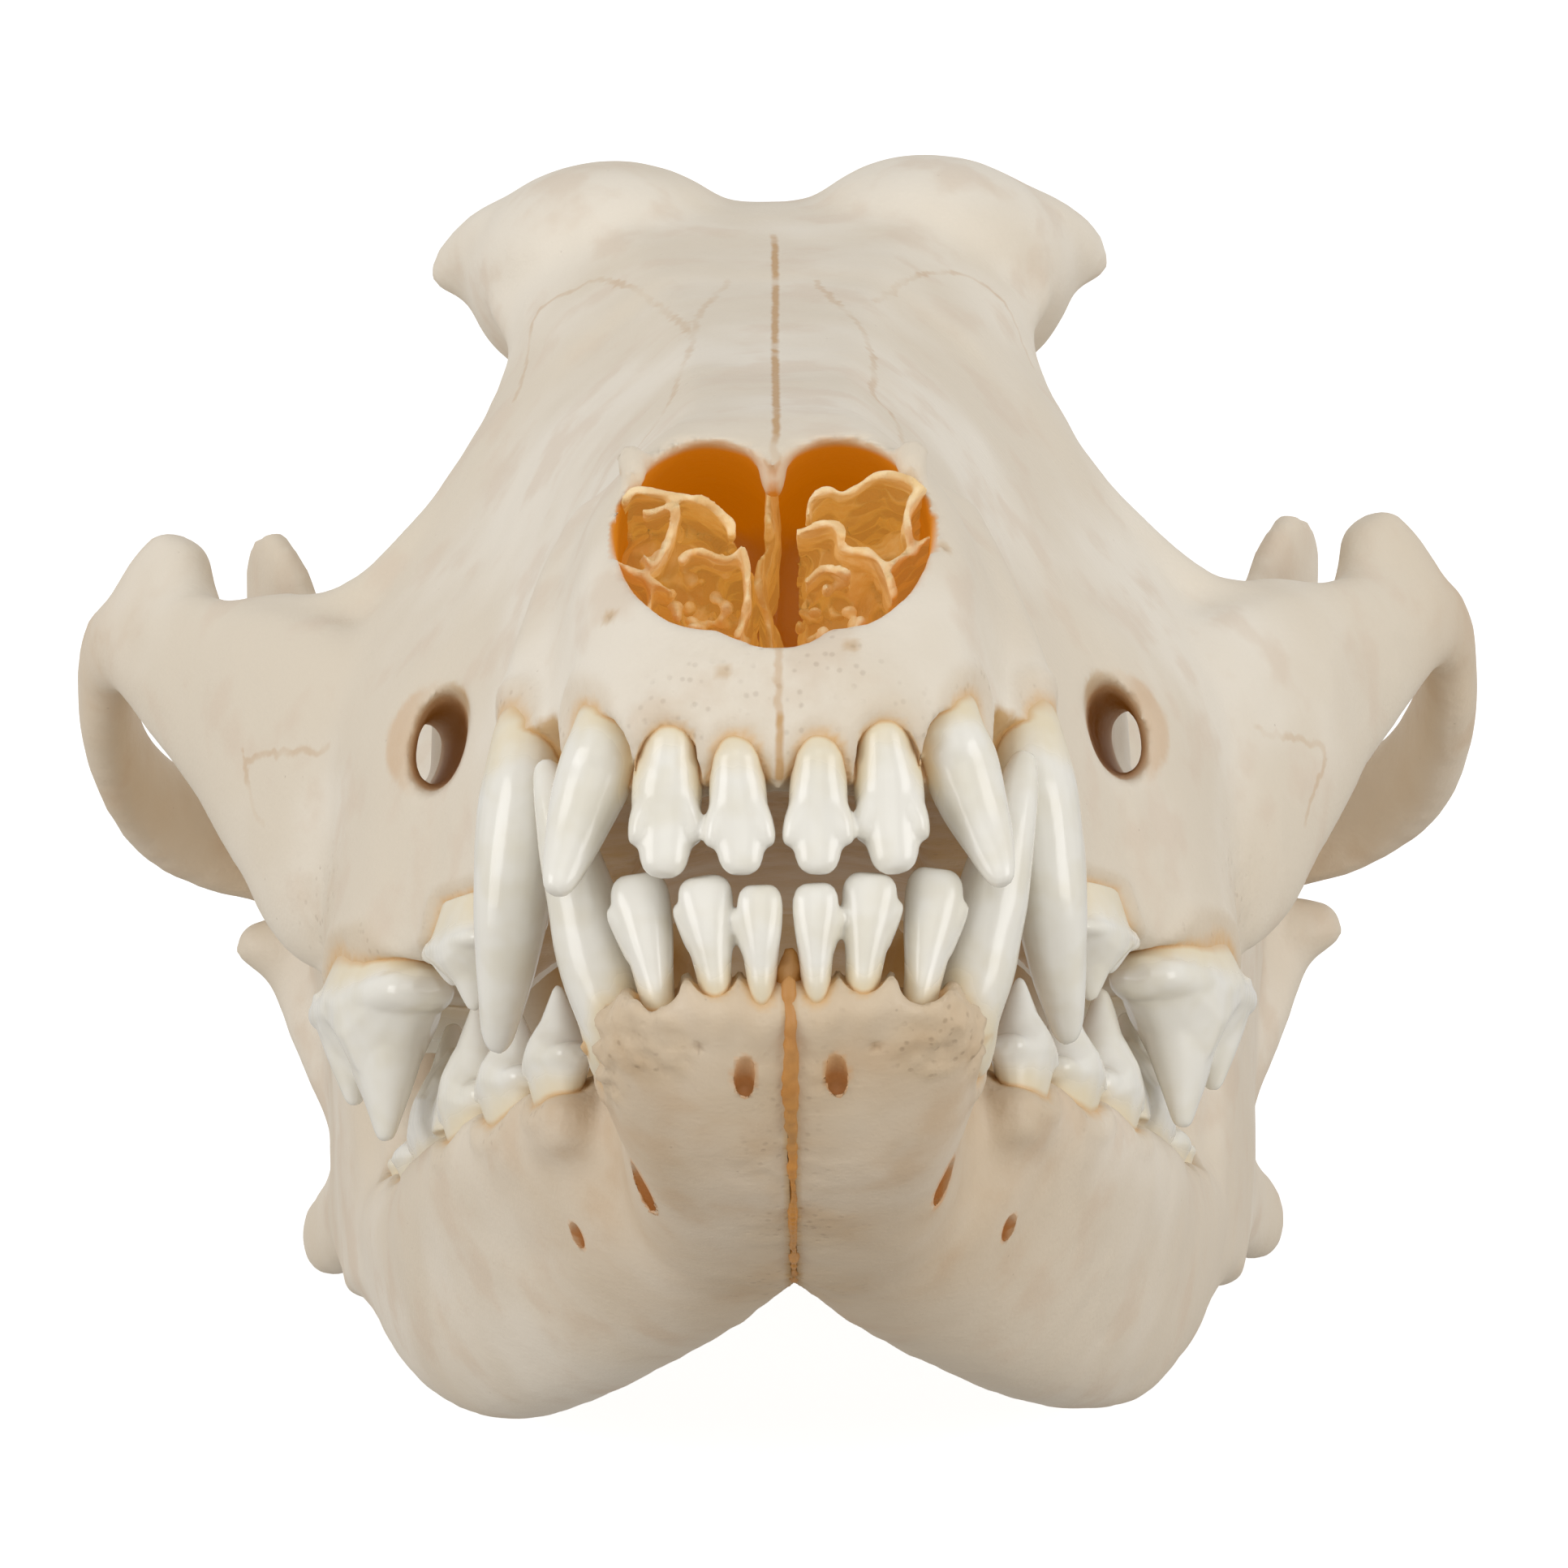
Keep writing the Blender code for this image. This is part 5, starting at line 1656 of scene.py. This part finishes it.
    def tunnel_depth(self, points: np.ndarray) -> np.ndarray:
        """How far each point is inside one of the nerve tunnels over the carnassials, from 0 to 1.

        Args:
            points: Places in millimetres.

        Returns:
            The shares.
        """
        folded = points * np.where(points[:, :1] < 0, (-1, 1, 1), (1, 1, 1))
        close = smooth_step(path_share(folded, self.cheek_hole), 1.2, 1.08)
        return close * smooth_step(points[:, 1], 61.0, 65.0) * (points[:, 1] < self.tunnel_end)

    def mouth_roof(self, points: np.ndarray, normals: np.ndarray) -> np.ndarray:
        """How much brown each point gets on the roof of the mouth and in the throat: painted shade, most
        where it faces down, with some real brown.

        Args:
            points: Places in millimetres.
            normals: Where the surface faces there.

        Returns:
            The strengths, from 0 to 1.
        """
        x, y, z = points.T
        wide = look_up(y, self.mouth_width)
        low = smooth_step(z, 18.0, 14.0) * smooth_step(np.abs(x), wide, 0.8 * wide)
        along = smooth_step(y, 3.0, 12.0) * smooth_step(y, 188.0, 172.0)
        facing = np.maximum(smooth_step(normals[:, 2], 0.1, -0.4), smooth_step(y, 76.0, 84.0))
        return self.roof_brown_and_shade * low * along * facing

    def dress(self, piece: Workpiece, crowns: Workpiece, detail: BoneDetail) -> None:
        """Gives the upper skull its relief and stains, with brown painted shade on the roof of the mouth, and
        painted shade and glow deep in the nose and the nerve tunnels.

        Args:
            piece: The bone.
            crowns: The upper teeth.
            detail: Its relief and stains.
        """
        points, normals = piece.points(), piece.normals()
        tunnel = self.tunnel_depth(points)
        arch = smooth_step(np.abs(points[:, 0]), 36.0, 42.0) * smooth_step(points[:, 1], 102.0, 116.0)
        warm = np.maximum(self.tunnel_stain * tunnel, self.arch_stain * arch)
        # Brown painted shade on the roof of the mouth, with some real brown.
        warm = np.maximum(warm, self.mouth_roof(points, normals))
        # Painted shade and glow deep in the nose and the nerve tunnels.
        inside = np.maximum(self.nose_depth(points, normals), self.tunnel_painted_glow * tunnel)
        detail.carve(piece, crowns, inside, warm)


@dataclass(frozen=True)
class Mandibles:
    """The two halves of the lower jaw. Sizes are those of the left half."""

    shift: float = 0.5
    half_seam: float = 0.15
    hole_stain: float = 0.5
    # Painted shade and glow inside the nerve holes.
    hole_painted_glow: float = 0.3
    # Ochre over the whole jaw: partly its real browner tone, partly painted shade.
    base_tint_and_shade: float = 0.1
    # Ochre painted shade over the front of the jaw at the chin.
    chin_shade: float = 0.3
    edge_stain: float = 0.9
    joint_groove: float = 0.1
    joint_back: float = 40.0
    joint_voxel: float = 0.25
    bar: Rows = (
        (4.2, 2, 3.4, 7.2, -18, -15.2), (8.5, 2.4, 5.2, 8.6, -22.6, -15.4),
        (15, 2.6, 4.8, 8.7, -26.8, -15.8), (23, 2.4, 4.4, 8.3, -30, -16.4), (32, 3, 5.2, 7.6, -32.4, -16.8),
        (36.5, 3.4, 7.2, 7, -33.2, -17), (42, 4.8, 14, 6.6, -34, -17.3), (52, 8.4, 19, 6, -35.9, -17.7),
        (63, 13.6, 22.2, 5.8, -37.4, -18), (76, 18.6, 25, 5.8, -37.8, -18.2),
        (88, 22.2, 26.2, 5.6, -36.9, -18), (100, 24.8, 28.6, 5.2, -34.2, -17),
        (110, 27.3, 30.2, 4.6, -30.4, -16), (120, 30, 31.6, 3.9, -26, -13), (132, 32.6, 33, 3.2, -22, -10),
        (142, 34.6, 34.6, 2.7, -19.6, -10),
    )
    blade: Rows = (
        (-24, 29.6, 104, 32.6, 128, 3.4), (-16, 31.2, 104.5, 35, 147, 3), (-8, 32.2, 106.5, 35.6, 149, 2.6),
        (0, 32.8, 109, 36.4, 149, 2.4), (8, 33.4, 112, 37.8, 146, 2.2), (15, 34.2, 114.5, 39.4, 142, 2),
        (22, 35.4, 117, 41, 140.5, 1.9), (29, 36.8, 119.8, 42.2, 139.5, 1.8),
        (34.5, 38.6, 123.2, 42.6, 137.6, 1.6), (38.2, 40.4, 127.5, 42.4, 134, 1.3),
    )
    blade_edge: Rows = (
        (28, 103, -16, 3.2, 3.2), (29.6, 107.5, -5, 2.9, 2.9), (31.4, 112, 7, 2.6, 2.6),
        (33.6, 116.5, 19, 2.3, 2.3), (36.4, 121, 30, 1.9, 1.9),
    )
    knuckle: Rows = (
        (24.5, 149.8, 6.6, 2, 1.8), (30, 149.2, 6.8, 3.4, 3.1), (37, 148.2, 6.9, 3.8, 3.5),
        (42, 147.2, 7.2, 3.2, 2.6), (45, 146.7, 7.6, 1.6, 1.4),
    )
    knuckle_neck: Rows = (
        (34.2, 141, -7, 3, 3.4), (35.4, 145, -1.5, 4.2, 4.6), (36, 148, 5, 4.4, 6.4),
    )
    heel: Rows = (
        (33.8, 134, -15, 2.6, 4.8), (35.8, 145, -15.4, 2.6, 4.4), (37.6, 152.5, -15.8, 2.4, 3.6),
        (38.8, 157.5, -15.2, 1.6, 2.4),
    )
    chin_holes: tuple[Rows, ...] = (
        ((3, 6, -21.3, 0.65, 0.8), (3.1, 10.5, -22.6, 0.6, 0.7)),
        ((12.2, 20, -26.6, 1.1, 1.3), (8.6, 28, -27.6, 0.9, 1.2)),
        ((17.4, 41, -28, 0.8, 0.85), (13.4, 45.6, -28.4, 0.7, 0.8)),
    )
    midline_block: Rows = ((-30, -10, -60), (0, 60, 0))
    ridges: tuple[Rows, ...] = (
        ((0, 6.4, -17.6, 0.7, 1.4), (0, 6.2, -14.6, 0.4, 0.8)),
        ((3.3, 7, -17.6, 0.8, 1.5), (3.4, 6.6, -14.6, 0.4, 0.8)),
        ((6.8, 8.4, -17.6, 0.8, 1.5), (7, 7.8, -14.8, 0.4, 0.8)),
        ((10.6, 10.6, -17.8, 0.9, 1.6), (10.8, 9.8, -15.2, 0.5, 0.8)),
        ((11.9, 15.6, -17, 2.5, 3.2), (9.6, 20, -24, 2, 2.4)),
        ((1.8, 6, -17.4, 1.1, 1.4), (2, 8.4, -21.4, 0.8, 1)),
        ((4.9, 7.4, -17.4, 1.4, 1.7), (4.6, 10.4, -22, 1, 1.2)),
        ((8.6, 9.8, -17.8, 1.6, 1.9), (7.8, 13, -23, 1.2, 1.4)),
    )
    joint_places: Rows = (
        (5.4, 0.5), (7.5, 0.5), (10, 0.48), (14, 0.42), (19, 0.36), (25, 0.32), (31, 0.3), (36, 0.3),
    )
    joint_levels: Rows = ((-15.8, 0.42), (-16.8, 0.48), (-18, 0.5), (-19.4, 0.5), (-20.8, 0.48))
    joint_top: Row = (-16.2, -0.1)
    joint_nub: Rows = ((0, 6.4, -17, 0.8, 1.2), (0, 5.8, -14.8, 0.7, 0.9), (0, 5.6, -13.5, 0.4, 0.5))
    joint_proud: float = 0.15
    joint_rubble: Rows = ((0.2, 1.3), (0.12, 0.6))
    melt_voxel: float = 0.9
    melt_steps: int = 6
    fine_voxel: float = 0.45
    fine_steps: int = 3

    def shape(self, teeth: Teeth) -> Workpiece:
        """The left half of the lower jaw.

        Args:
            teeth: The lower teeth.

        Returns:
            The bone.
        """
        shells = [
            jaw_bar(self.bar),
            upright_plate(self.blade),
            limb(self.blade_edge, up=(0, 1, 0)),
            limb(self.knuckle),
            limb(self.knuckle_neck, up=(1, 0, 0)),
            limb(self.heel),
            *teeth.socket_rims(),
        ]
        half = Workpiece("mandible_left_bone", shells)
        half.remelt(self.melt_voxel, self.melt_steps)
        half.add([Workpiece("ridges", [limb(rows, up=(0, 1, 0)) for rows in self.ridges])])
        half.remelt(self.fine_voxel, 0)
        half.cut([Workpiece("socket_mouth", [mouth]) for mouth in teeth.socket_mouths()])
        half.remelt(self.fine_voxel, self.fine_steps)
        low, high = self.midline_block
        half.cut([
            Workpiece("midline_cut", [block(low, (self.half_seam, *high[1:]))]),
            Workpiece("chin_holes", [limb(rows) for rows in self.chin_holes]),
        ])
        return half

    def halves(self, teeth: Teeth) -> tuple[Workpiece, Workpiece]:
        """The two halves in place.

        Args:
            teeth: The lower teeth.

        Returns:
            The left half and the right half.
        """
        left = self.shape(teeth)
        right = left.mirrored_copy("mandible_right_bone")
        for half in (left, right):
            half.move_points(half.points() + (self.shift, 0, 0))
        return left, right

    def hole_depth(self, points: np.ndarray) -> np.ndarray:
        """How far each point is inside one of the nerve holes, from 0 to 1.

        Args:
            points: Places in millimetres.

        Returns:
            The shares.
        """
        folded = np.stack([np.abs(points[:, 0] - self.shift), points[:, 1], points[:, 2]], axis=1)
        share = np.min([path_share(folded, rows) for rows in self.chin_holes], axis=0)
        return smooth_step(share, 1.2, 1.05)

    def dress(self, half: Workpiece, crowns: Workpiece, detail: BoneDetail) -> None:
        """Gives a half its relief and stains, with ochre painted shade over the jaw and chin and painted
        shade and glow in its holes, and files it flat where it rests.

        Args:
            half: The bone.
            crowns: The lower teeth.
            detail: Its relief and stains.
        """
        points, normals = half.points(), half.normals()
        aside = np.abs(points[:, 0] - self.shift)
        chin = smooth_step(points[:, 1], 60.0, 35.0)
        joint = smooth_step(aside, 1.3, 0.3) * (points[:, 1] < self.joint_back)
        edge = self.edge_stain * smooth_step(aside, 0.8, 0.4) * joint
        # Ochre: the jaw's browner tone and painted shade, most at the chin, and the joint's real stain.
        warm = np.maximum(self.base_tint_and_shade + self.chin_shade * chin, edge)
        hole = self.hole_depth(points)
        # Painted shade and glow inside the holes, with an ochre stain.
        detail.carve(half, crowns, self.hole_painted_glow * hole, np.maximum(warm, self.hole_stain * hole))
        groove = self.joint_groove * joint * (np.abs(normals[:, 0]) < 0.6)
        points = half.points() - normals * groove[:, None]
        up = np.array(POSE.to_3x3())[2]
        low = points @ up + POSE.translation.z / MM
        points[low < 0] -= low[low < 0, None] * up
        half.move_points(points)

    def beside_joint(self, half: Workpiece) -> np.ndarray:
        """The points of a half that lie within a millimetre of the joint at the chin."""
        points = half.points()
        return points[np.abs(points[:, 0] - self.shift) < 1.0]

    def joint_rows(self, half: Workpiece) -> Rows:
        """Rows of a thin trunk whose lower edge stands a little proud of the chin.

        Args:
            half: The left half of the jaw.

        Returns:
            The rows, as for trunk.
        """
        beside = self.beside_joint(half)
        top, slope = self.joint_top
        rows = []
        for y, wide in self.joint_places:
            low = beside[np.abs(beside[:, 1] - y) < 0.5, 2].min() - self.joint_proud
            rows.append((y, wide, wide, low, top + slope * y, 5.0))
        return tuple(rows)

    def joint_front(self, half: Workpiece) -> Rows:
        """Rows of a thin upright bar that stands a little proud of the front of the chin.

        Args:
            half: The left half of the jaw.

        Returns:
            The rows, as for limb.
        """
        beside = self.beside_joint(half)
        rows = []
        for z, wide in self.joint_levels:
            front = beside[np.abs(beside[:, 2] - z) < 0.5, 1].min() - self.joint_proud
            rows.append((0.0, front + wide, z, wide, wide))
        return tuple(rows)

    def joint_filling(self, half: Workpiece, material: bpy.types.Material) -> None:
        """Makes and dresses the rough, brown joint between the halves at the chin.

        Args:
            half: The left half of the jaw.
            material: The joint's finish.
        """
        shells = [
            trunk(self.joint_rows(half), steps=6, sides=48),
            limb(self.joint_front(half), up=(0, 1, 0)),
            limb(self.joint_nub, up=(0, 1, 0)),
        ]
        piece = Workpiece("chin_joint", shells)
        piece.remelt(self.joint_voxel, 1)
        points, normals = piece.points() + (self.shift, 0, 0), piece.normals()
        noise = Noise(31)
        rough = noise.waves(points, *self.joint_rubble)
        piece.move_points(points + normals * rough[:, None])
        piece.paint("warm", np.ones(len(points)))
        # The joint's brown tint, which also gives it a faint painted glow.
        piece.paint("inside", 0.36 + 0.2 * noise.at(points, 2.5))
        piece.paint("dark", 0.42 + 0.35 * smooth_step(noise.at(points, 1.2), 0.3, 0.7))
        for name in ("seam", "seam_near"):
            piece.paint(name, np.full(len(points), Seams.FAR))
        piece.finish(material, Slot.BONE)


@dataclass(frozen=True)
class NoseScrolls:
    """The paper-thin scrolls and the partition inside the nose. Each path is x and z across the nose."""

    front: float = 13.0
    back: float = 44.0
    half_thickness: float = 0.2
    partition: Rows = (
        (-0.1, 22.5), (-0.1, 18.7), (-0.1, 16.2), (-0.7, 14.5), (-0.7, 12.7), (-0.1, 11.2), (0.2, 7),
    )
    sheets: tuple[Rows, ...] = (
        ((-10.1, 18.2), (-9.4, 19), (-8.1, 18.9), (-5.5, 18.5), (-3.9, 17.8), (-2.8, 16.9), (-2.5, 16)),
        ((-8.8, 17.4), (-6.6, 18), (-6.6, 16.7), (-7.2, 14.9), (-8.1, 13.6), (-8.9, 14.5)),
        ((-11, 14.3), (-9.7, 13.5), (-8.4, 12.9), (-8.4, 10.9), (-8.9, 10.3)),
        ((-8.4, 12.9), (-6.8, 12.3)),
        (
            (-6.6, 14.3), (-5.5, 15.1), (-3.2, 14.5), (-2.1, 15.2), (-1.6, 13.8), (-1.6, 12.3), (-1.8, 10.7),
            (-2.5, 8.5),
        ),
        ((2.3, 17.1), (2.6, 18.3), (4, 19.1), (4.7, 18.9), (6.9, 19.8), (8.6, 19.4), (10, 18.2)),
        ((1.5, 16.2), (4.2, 16.3), (4.5, 14.9), (6.3, 14.3), (7.2, 13.4), (7.9, 11.2)),
        ((7.9, 13.2), (10.1, 14.9), (11.2, 15.4)),
        ((9.8, 19), (8.8, 17.2), (8.9, 15.2), (9.4, 14.2)),
        ((2, 12.6), (3.4, 13.4), (5, 12.6)),
    )
    crumbs: Rows = (
        (-5, 12.2, 2.8, 2.8, 34), (-4, 9.4, 2.6, 1.6, 22), (3.4, 11, 2, 2.4, 26), (5.4, 8.6, 3, 1.4, 22),
    )
    crumb_size: float = 0.6
    masses: Rows = (
        (-6.2, 27, 14.4, 3.4, 8.6, 3.8), (-4.8, 28, 10.6, 3.2, 8, 3.2),
        (5.4, 27, 14.6, 3.6, 8.6, 3.6), (4.8, 28, 10.6, 3.4, 8, 3.2),
        (-8.4, 28, 15.6, 2.6, 8, 2.9), (8.2, 28, 15.6, 2.6, 8, 3),
    )
    partition_front: float = 19.0
    torn_edge: Row = (1.4, 1.6)
    side_wave: Row = (0.5, 5.0)
    uneven_width: Row = (0.7, 1.2)
    fold_size: float = 2.2
    fold_depth: float = 0.9
    grain: Row = (0.1, 0.9)
    rim_patches: Row = (0.45, 2.4)
    partition_rim: float = 0.2
    voxel: float = 0.22
    seed: int = 5

    def sheet(self, path: Rows, thick: float, front: float, noise: Noise) -> Shell:
        """A thin wavy sheet that runs back into the nose from a path across it.

        Args:
            path: x and z of the path.
            thick: Half its thickness.
            front: y of its front edge.
            noise: For its waves.

        Returns:
            The closed sheet.
        """
        line = resample(path, 8)
        ahead = np.gradient(line, axis=0)
        ahead /= np.linalg.norm(ahead, axis=1)[:, None]
        aside = np.stack([-ahead[:, 1], ahead[:, 0]], axis=1)
        rings = []
        for share in np.linspace(0, 1, 14):
            depth = front + (self.back - front) * share
            place = np.stack([line[:, 0], np.full(len(line), depth), line[:, 1]], axis=1)
            start = noise.waves(place * (1, 0, 1) + (0, 40, 0), self.torn_edge) * (1 - share)
            wave = noise.waves(place, self.side_wave)
            width = thick * (1.1 + noise.waves(place, self.uneven_width))
            rows = []
            for sign, order in ((1, slice(None)), (-1, slice(None, None, -1))):
                edge = line + aside * (wave + sign * width)[:, None]
                rows.append(np.stack([edge[:, 0], depth + start, edge[:, 1]], axis=1)[order])
            rings.append(np.concatenate(rows))
        return closed_tube(rings)

    def crumb_shells(self) -> list[Shell]:
        """Small crumbs of spongy bone, in clumps.

        Returns:
            The closed crumbs.
        """
        rng = np.random.default_rng(self.seed)
        made = []
        for x, z, half_x, half_z, count in self.crumbs:
            for _ in range(int(count)):
                dx, dz = rng.uniform(-1, 1, 2)
                centre = (x + dx * half_x, rng.uniform(self.front + 1, self.front + 9), z + dz * half_z)
                radii = tuple(rng.uniform(0.5, 1.0, 3) * self.crumb_size * (1, 2.4, 1))
                made.append(ball(centre, radii, rings=7, sides=10))
        return made

    def build(self, material: bpy.types.Material) -> None:
        """Makes and dresses the scrolls and the partition.

        Args:
            material: Their finish.
        """
        noise = Noise(self.seed)
        scrolls = [self.sheet(path, self.half_thickness, self.front, noise) for path in self.sheets]
        scrolls += self.crumb_shells() + [ball(row[:3], row[3:]) for row in self.masses]
        partition = [self.sheet(self.partition, self.half_thickness, self.partition_front, noise)]
        for name, shells, front, fold_depth, rim_strength in (
            ("nose_scrolls", scrolls, self.front, self.fold_depth, 1.0),
            ("nose_partition", partition, self.partition_front, 0.0, self.partition_rim),
        ):
            piece = Workpiece(name, shells)
            piece.remelt(self.voxel, 1)
            points, normals = piece.points(), piece.normals()
            folds = np.abs(noise.at(points * (1, 0.3, 1), self.fold_size))
            folds *= smooth_step(points[:, 1], front + 3, front + 8)
            rough = noise.waves(points, self.grain) - fold_depth * folds
            piece.move_points(points + normals * rough[:, None])
            rim = smooth_step(points[:, 1], front + 4, front) * (0.55 + noise.waves(points, self.rim_patches))
            piece.paint("rim", rim * rim_strength)
            piece.finish(material, Slot.BONE)


@dataclass(frozen=True)
class Studio:
    """The pale floor, the soft light and the camera in front of the teeth."""

    aim: Row = (0.4, 0, -3.37)
    distance: float = 620.0
    down_deg: float = 7.03
    roll_deg: float = -1.0
    focal_px: float = 11600.0
    frame_px: float = 1932.0
    sensor_mm: float = 36.0
    floor_size: float = 14.0
    sky: Colour = (1.0, 0.99, 0.975)
    ground: Colour = (0.60, 0.57, 0.53)
    sky_strength: float = 0.7
    horizon: Row = (-0.5, 0.3)
    lamp_target: Row = (0, 0, 0.05)
    lamps: Rows = ((-1.1, -0.8, 0.1, 0.9, 8.2), (1.1, -0.8, 0.1, 0.9, 7.2), (0, -1.3, 0.5, 0.6, 0.6))

    def place_camera(self) -> None:
        """Sets up the camera at the photograph's angle."""
        turn = (
            Matrix.Rotation(math.radians(90 - self.down_deg), 4, "X")
            @ Matrix.Rotation(math.radians(self.roll_deg), 4, "Z")
        )
        lens = bpy.data.cameras.new("camera")
        lens.sensor_width = self.sensor_mm
        lens.lens = self.focal_px / self.frame_px * self.sensor_mm
        lens.clip_start = 0.01
        lens.clip_end = 50.0
        camera = new_object("camera", lens)
        aim = POSE @ (Vector(self.aim) * MM)
        camera.matrix_world = Matrix.Translation(aim + turn @ Vector((0, 0, self.distance * MM))) @ turn
        bpy.context.scene.camera = camera

    def place_sky(self) -> None:
        """Lights the skull evenly from above and less from below."""
        world = bpy.data.worlds.new("studio")
        world.use_nodes = True
        low, high = self.horizon
        nodes = NodeSet(world.node_tree)
        place = nodes.node("ShaderNodeTexCoord", {}, {}).outputs["Generated"]
        rise = nodes.node("ShaderNodeSeparateXYZ", {}, {0: place}).outputs["Z"]
        height = nodes.node("ShaderNodeMapRange", {}, {"Value": rise, "From Min": low, "From Max": high})
        share = height.outputs["Result"]
        mix = nodes.node("ShaderNodeMix", {"data_type": "RGBA"}, {0: share, 6: self.ground, 7: self.sky})
        backdrop = nodes.tree.nodes["Background"]
        nodes.feed(backdrop, {"Strength": self.sky_strength, "Color": mix.outputs[2]})
        bpy.context.scene.world = world

    def place_lamp(self, x: float, y: float, z: float, size: float, power: float) -> None:
        """Adds a large soft lamp that faces the skull.

        Args:
            x: Its place across, in metres.
            y: Its place along, in metres.
            z: Its height, in metres.
            size: Its side, in metres.
            power: Its power in watts.
        """
        lamp = bpy.data.lights.new("lamp", "AREA")
        lamp.size = size
        lamp.energy = power
        holder = new_object("lamp", lamp)
        holder.location = (x, y, z)
        ahead = Vector(self.lamp_target) - Vector((x, y, z))
        holder.rotation_euler = ahead.to_track_quat("-Z", "Y").to_euler()

    def build(self, floor_finish: bpy.types.Material) -> None:
        """Makes the floor, the sky, the lamps and the camera.

        Args:
            floor_finish: The floor's finish.
        """
        half = self.floor_size / 2
        mesh = bpy.data.meshes.new("floor")
        corners = [(-half, -half, 0), (half, -half, 0), (half, half, 0), (-half, half, 0)]
        mesh.from_pydata(corners, [], [(0, 1, 2, 3)])
        mesh.materials.append(floor_finish)
        floor = new_object("floor", mesh)
        floor.visible_diffuse = False
        floor.visible_glossy = False
        self.place_sky()
        for row in self.lamps:
            self.place_lamp(*row)
        self.place_camera()
        bpy.context.scene.view_settings.view_transform = "Standard"


UPPER_SEAMS = (
    Seam((
        (0.4, 92, 53.5), (0.4, 75, 45.6), (0.3, 56.8, 38.1), (0.3, 36.4, 30.4), (0.3, 19.8, 24.3),
        (0.1, 17.4, 22.9), (0.1, 16.4, 21.4),
    ), 0.05, 0.95),
    Seam(((0.2, 1.8, 5.7), (0.2, 1.1, 3.1), (0.2, 1.1, 1.4)), 0.1, 0.4),
    Seam(((0.2, 1.1, 1.3), (0.2, 1.1, 0), (0.1, 1.6, -2)), 0.08, 0.95),
    Seam((
        (-9.6, 16.8, 20.8), (-9.8, 32.9, 25), (-8.6, 37.2, 27.8), (-7.1, 42, 30.9), (-6.5, 50.5, 34.8),
        (-5.8, 56.8, 37.9), (-5.1, 68.1, 42.7), (-3, 78.4, 47),
    )),
    Seam((
        (9.5, 24.3, 23.3), (8.7, 41.3, 29.1), (7.3, 44.4, 31.5), (7.3, 54.2, 35.7), (6.9, 61.6, 39.4),
        (5.5, 67.8, 42.6), (3.4, 77.4, 46.6),
    )),
    Seam((
        (-19.1, 85.4, 40.6), (-18.5, 90.1, 44.6), (-17.6, 92.3, 48.2), (-14.9, 90, 49.2), (-12.9, 88.3, 49.6),
        (-9.1, 78.7, 45.9), (-5.9, 61.4, 39.8),
    )),
    Seam((
        (19.8, 93.3, 44), (18.3, 92.9, 47.7), (16.4, 92.6, 49.6), (13.7, 90.2, 50.2), (10.9, 84.5, 48.5),
        (7.9, 74.4, 44.7),
    )),
    Seam((
        (-39.4, 88.1, 8.5), (-40.3, 89.3, 12.1), (-39.8, 88.6, 13.3), (-36.6, 84.1, 13), (-33.8, 80.4, 12.4),
    )),
    Seam(((36.5, 83.8, 13), (40.2, 89.3, 13.2), (41.3, 91.2, 12.5), (40.7, 90.2, 10.5), (39.7, 88.8, 7.8))),
)
UPPER_PITS = (
    Pit(-3.4, 1.1, 4.4, 0.3, 0.25, 0.2),
    Pit(5.1, 2.2, 6.2, 0.3, 0.25, 0.2),
    Pit(-11.1, 6, 9.1, 0.3, 0.25, 0.2),
    Pit(11.5, 10.5, 14.2, 0.3, 0.25, 0.2),
)
LOWER_PITS = (Pit(-5.6, 6.1, -19.9, 0.32, 0.4, 0.4), Pit(6.2, 6.3, -20.1, 0.32, 0.4, 0.4))
UPPER_COARSE = (
    (0, 3, 1, 14, 0.35), (0, 40, 1, 26, 0.5), (0, 186, 20, 26, 0.5), (31, 80, 0, 9, 0.35),
    (-31, 80, 0, 9, 0.35),
)
LOWER_COARSE = (
    (-12.4, 12.3, -18.2, 5.5, 2.4), (13.7, 12.1, -17.6, 5, 2.2), (-8.8, 7.4, -19.3, 4, 1.3),
    (10, 7.7, -19.2, 4, 1.3), (0.5, 8, -22, 6, 0.3), (0.5, 15, -27, 6, 0.35), (0.5, 24, -31, 6, 0.4),
    (0.5, 36, -33, 7, 0.4),
)


def main() -> None:
    """Builds the dressed skull."""
    logging.basicConfig(level=logging.INFO, format="%(message)s")
    bone, enamel, scroll = DryBone().material(), Enamel().material(), ScrollBone().material()
    Studio().build(StudioFloor().material())
    cranium, mandibles = Cranium(), Mandibles()
    skull, upper_crowns = cranium.shape(UPPER_TEETH), UPPER_TEETH.shape()
    upper_detail = BoneDetail(UPPER_PITS, Seams(UPPER_SEAMS, 3), UPPER_TEETH, UPPER_COARSE, 21)
    cranium.dress(skull, upper_crowns, upper_detail)
    UPPER_TEETH.dress(upper_crowns, [skull], enamel)
    skull.finish(bone, Slot.BONE, cranium.nodes)
    halves, lower_crowns = mandibles.halves(LOWER_TEETH), LOWER_TEETH.shape()
    lower_detail = BoneDetail(LOWER_PITS, Seams((), 4), LOWER_TEETH, LOWER_COARSE, 22)
    for half in halves:
        mandibles.dress(half, lower_crowns, lower_detail)
    LOWER_TEETH.dress(lower_crowns, halves, enamel)
    mandibles.joint_filling(halves[0], bone)
    for half, node in zip(halves, ("mandible_left", "mandible_right")):
        half.finish(bone, Slot.BONE, (node,))
    NoseScrolls().build(scroll)
    bpy.context.view_layer.update()
    LOG.info("the skull is dressed")


if __name__ == "__main__":
    main()
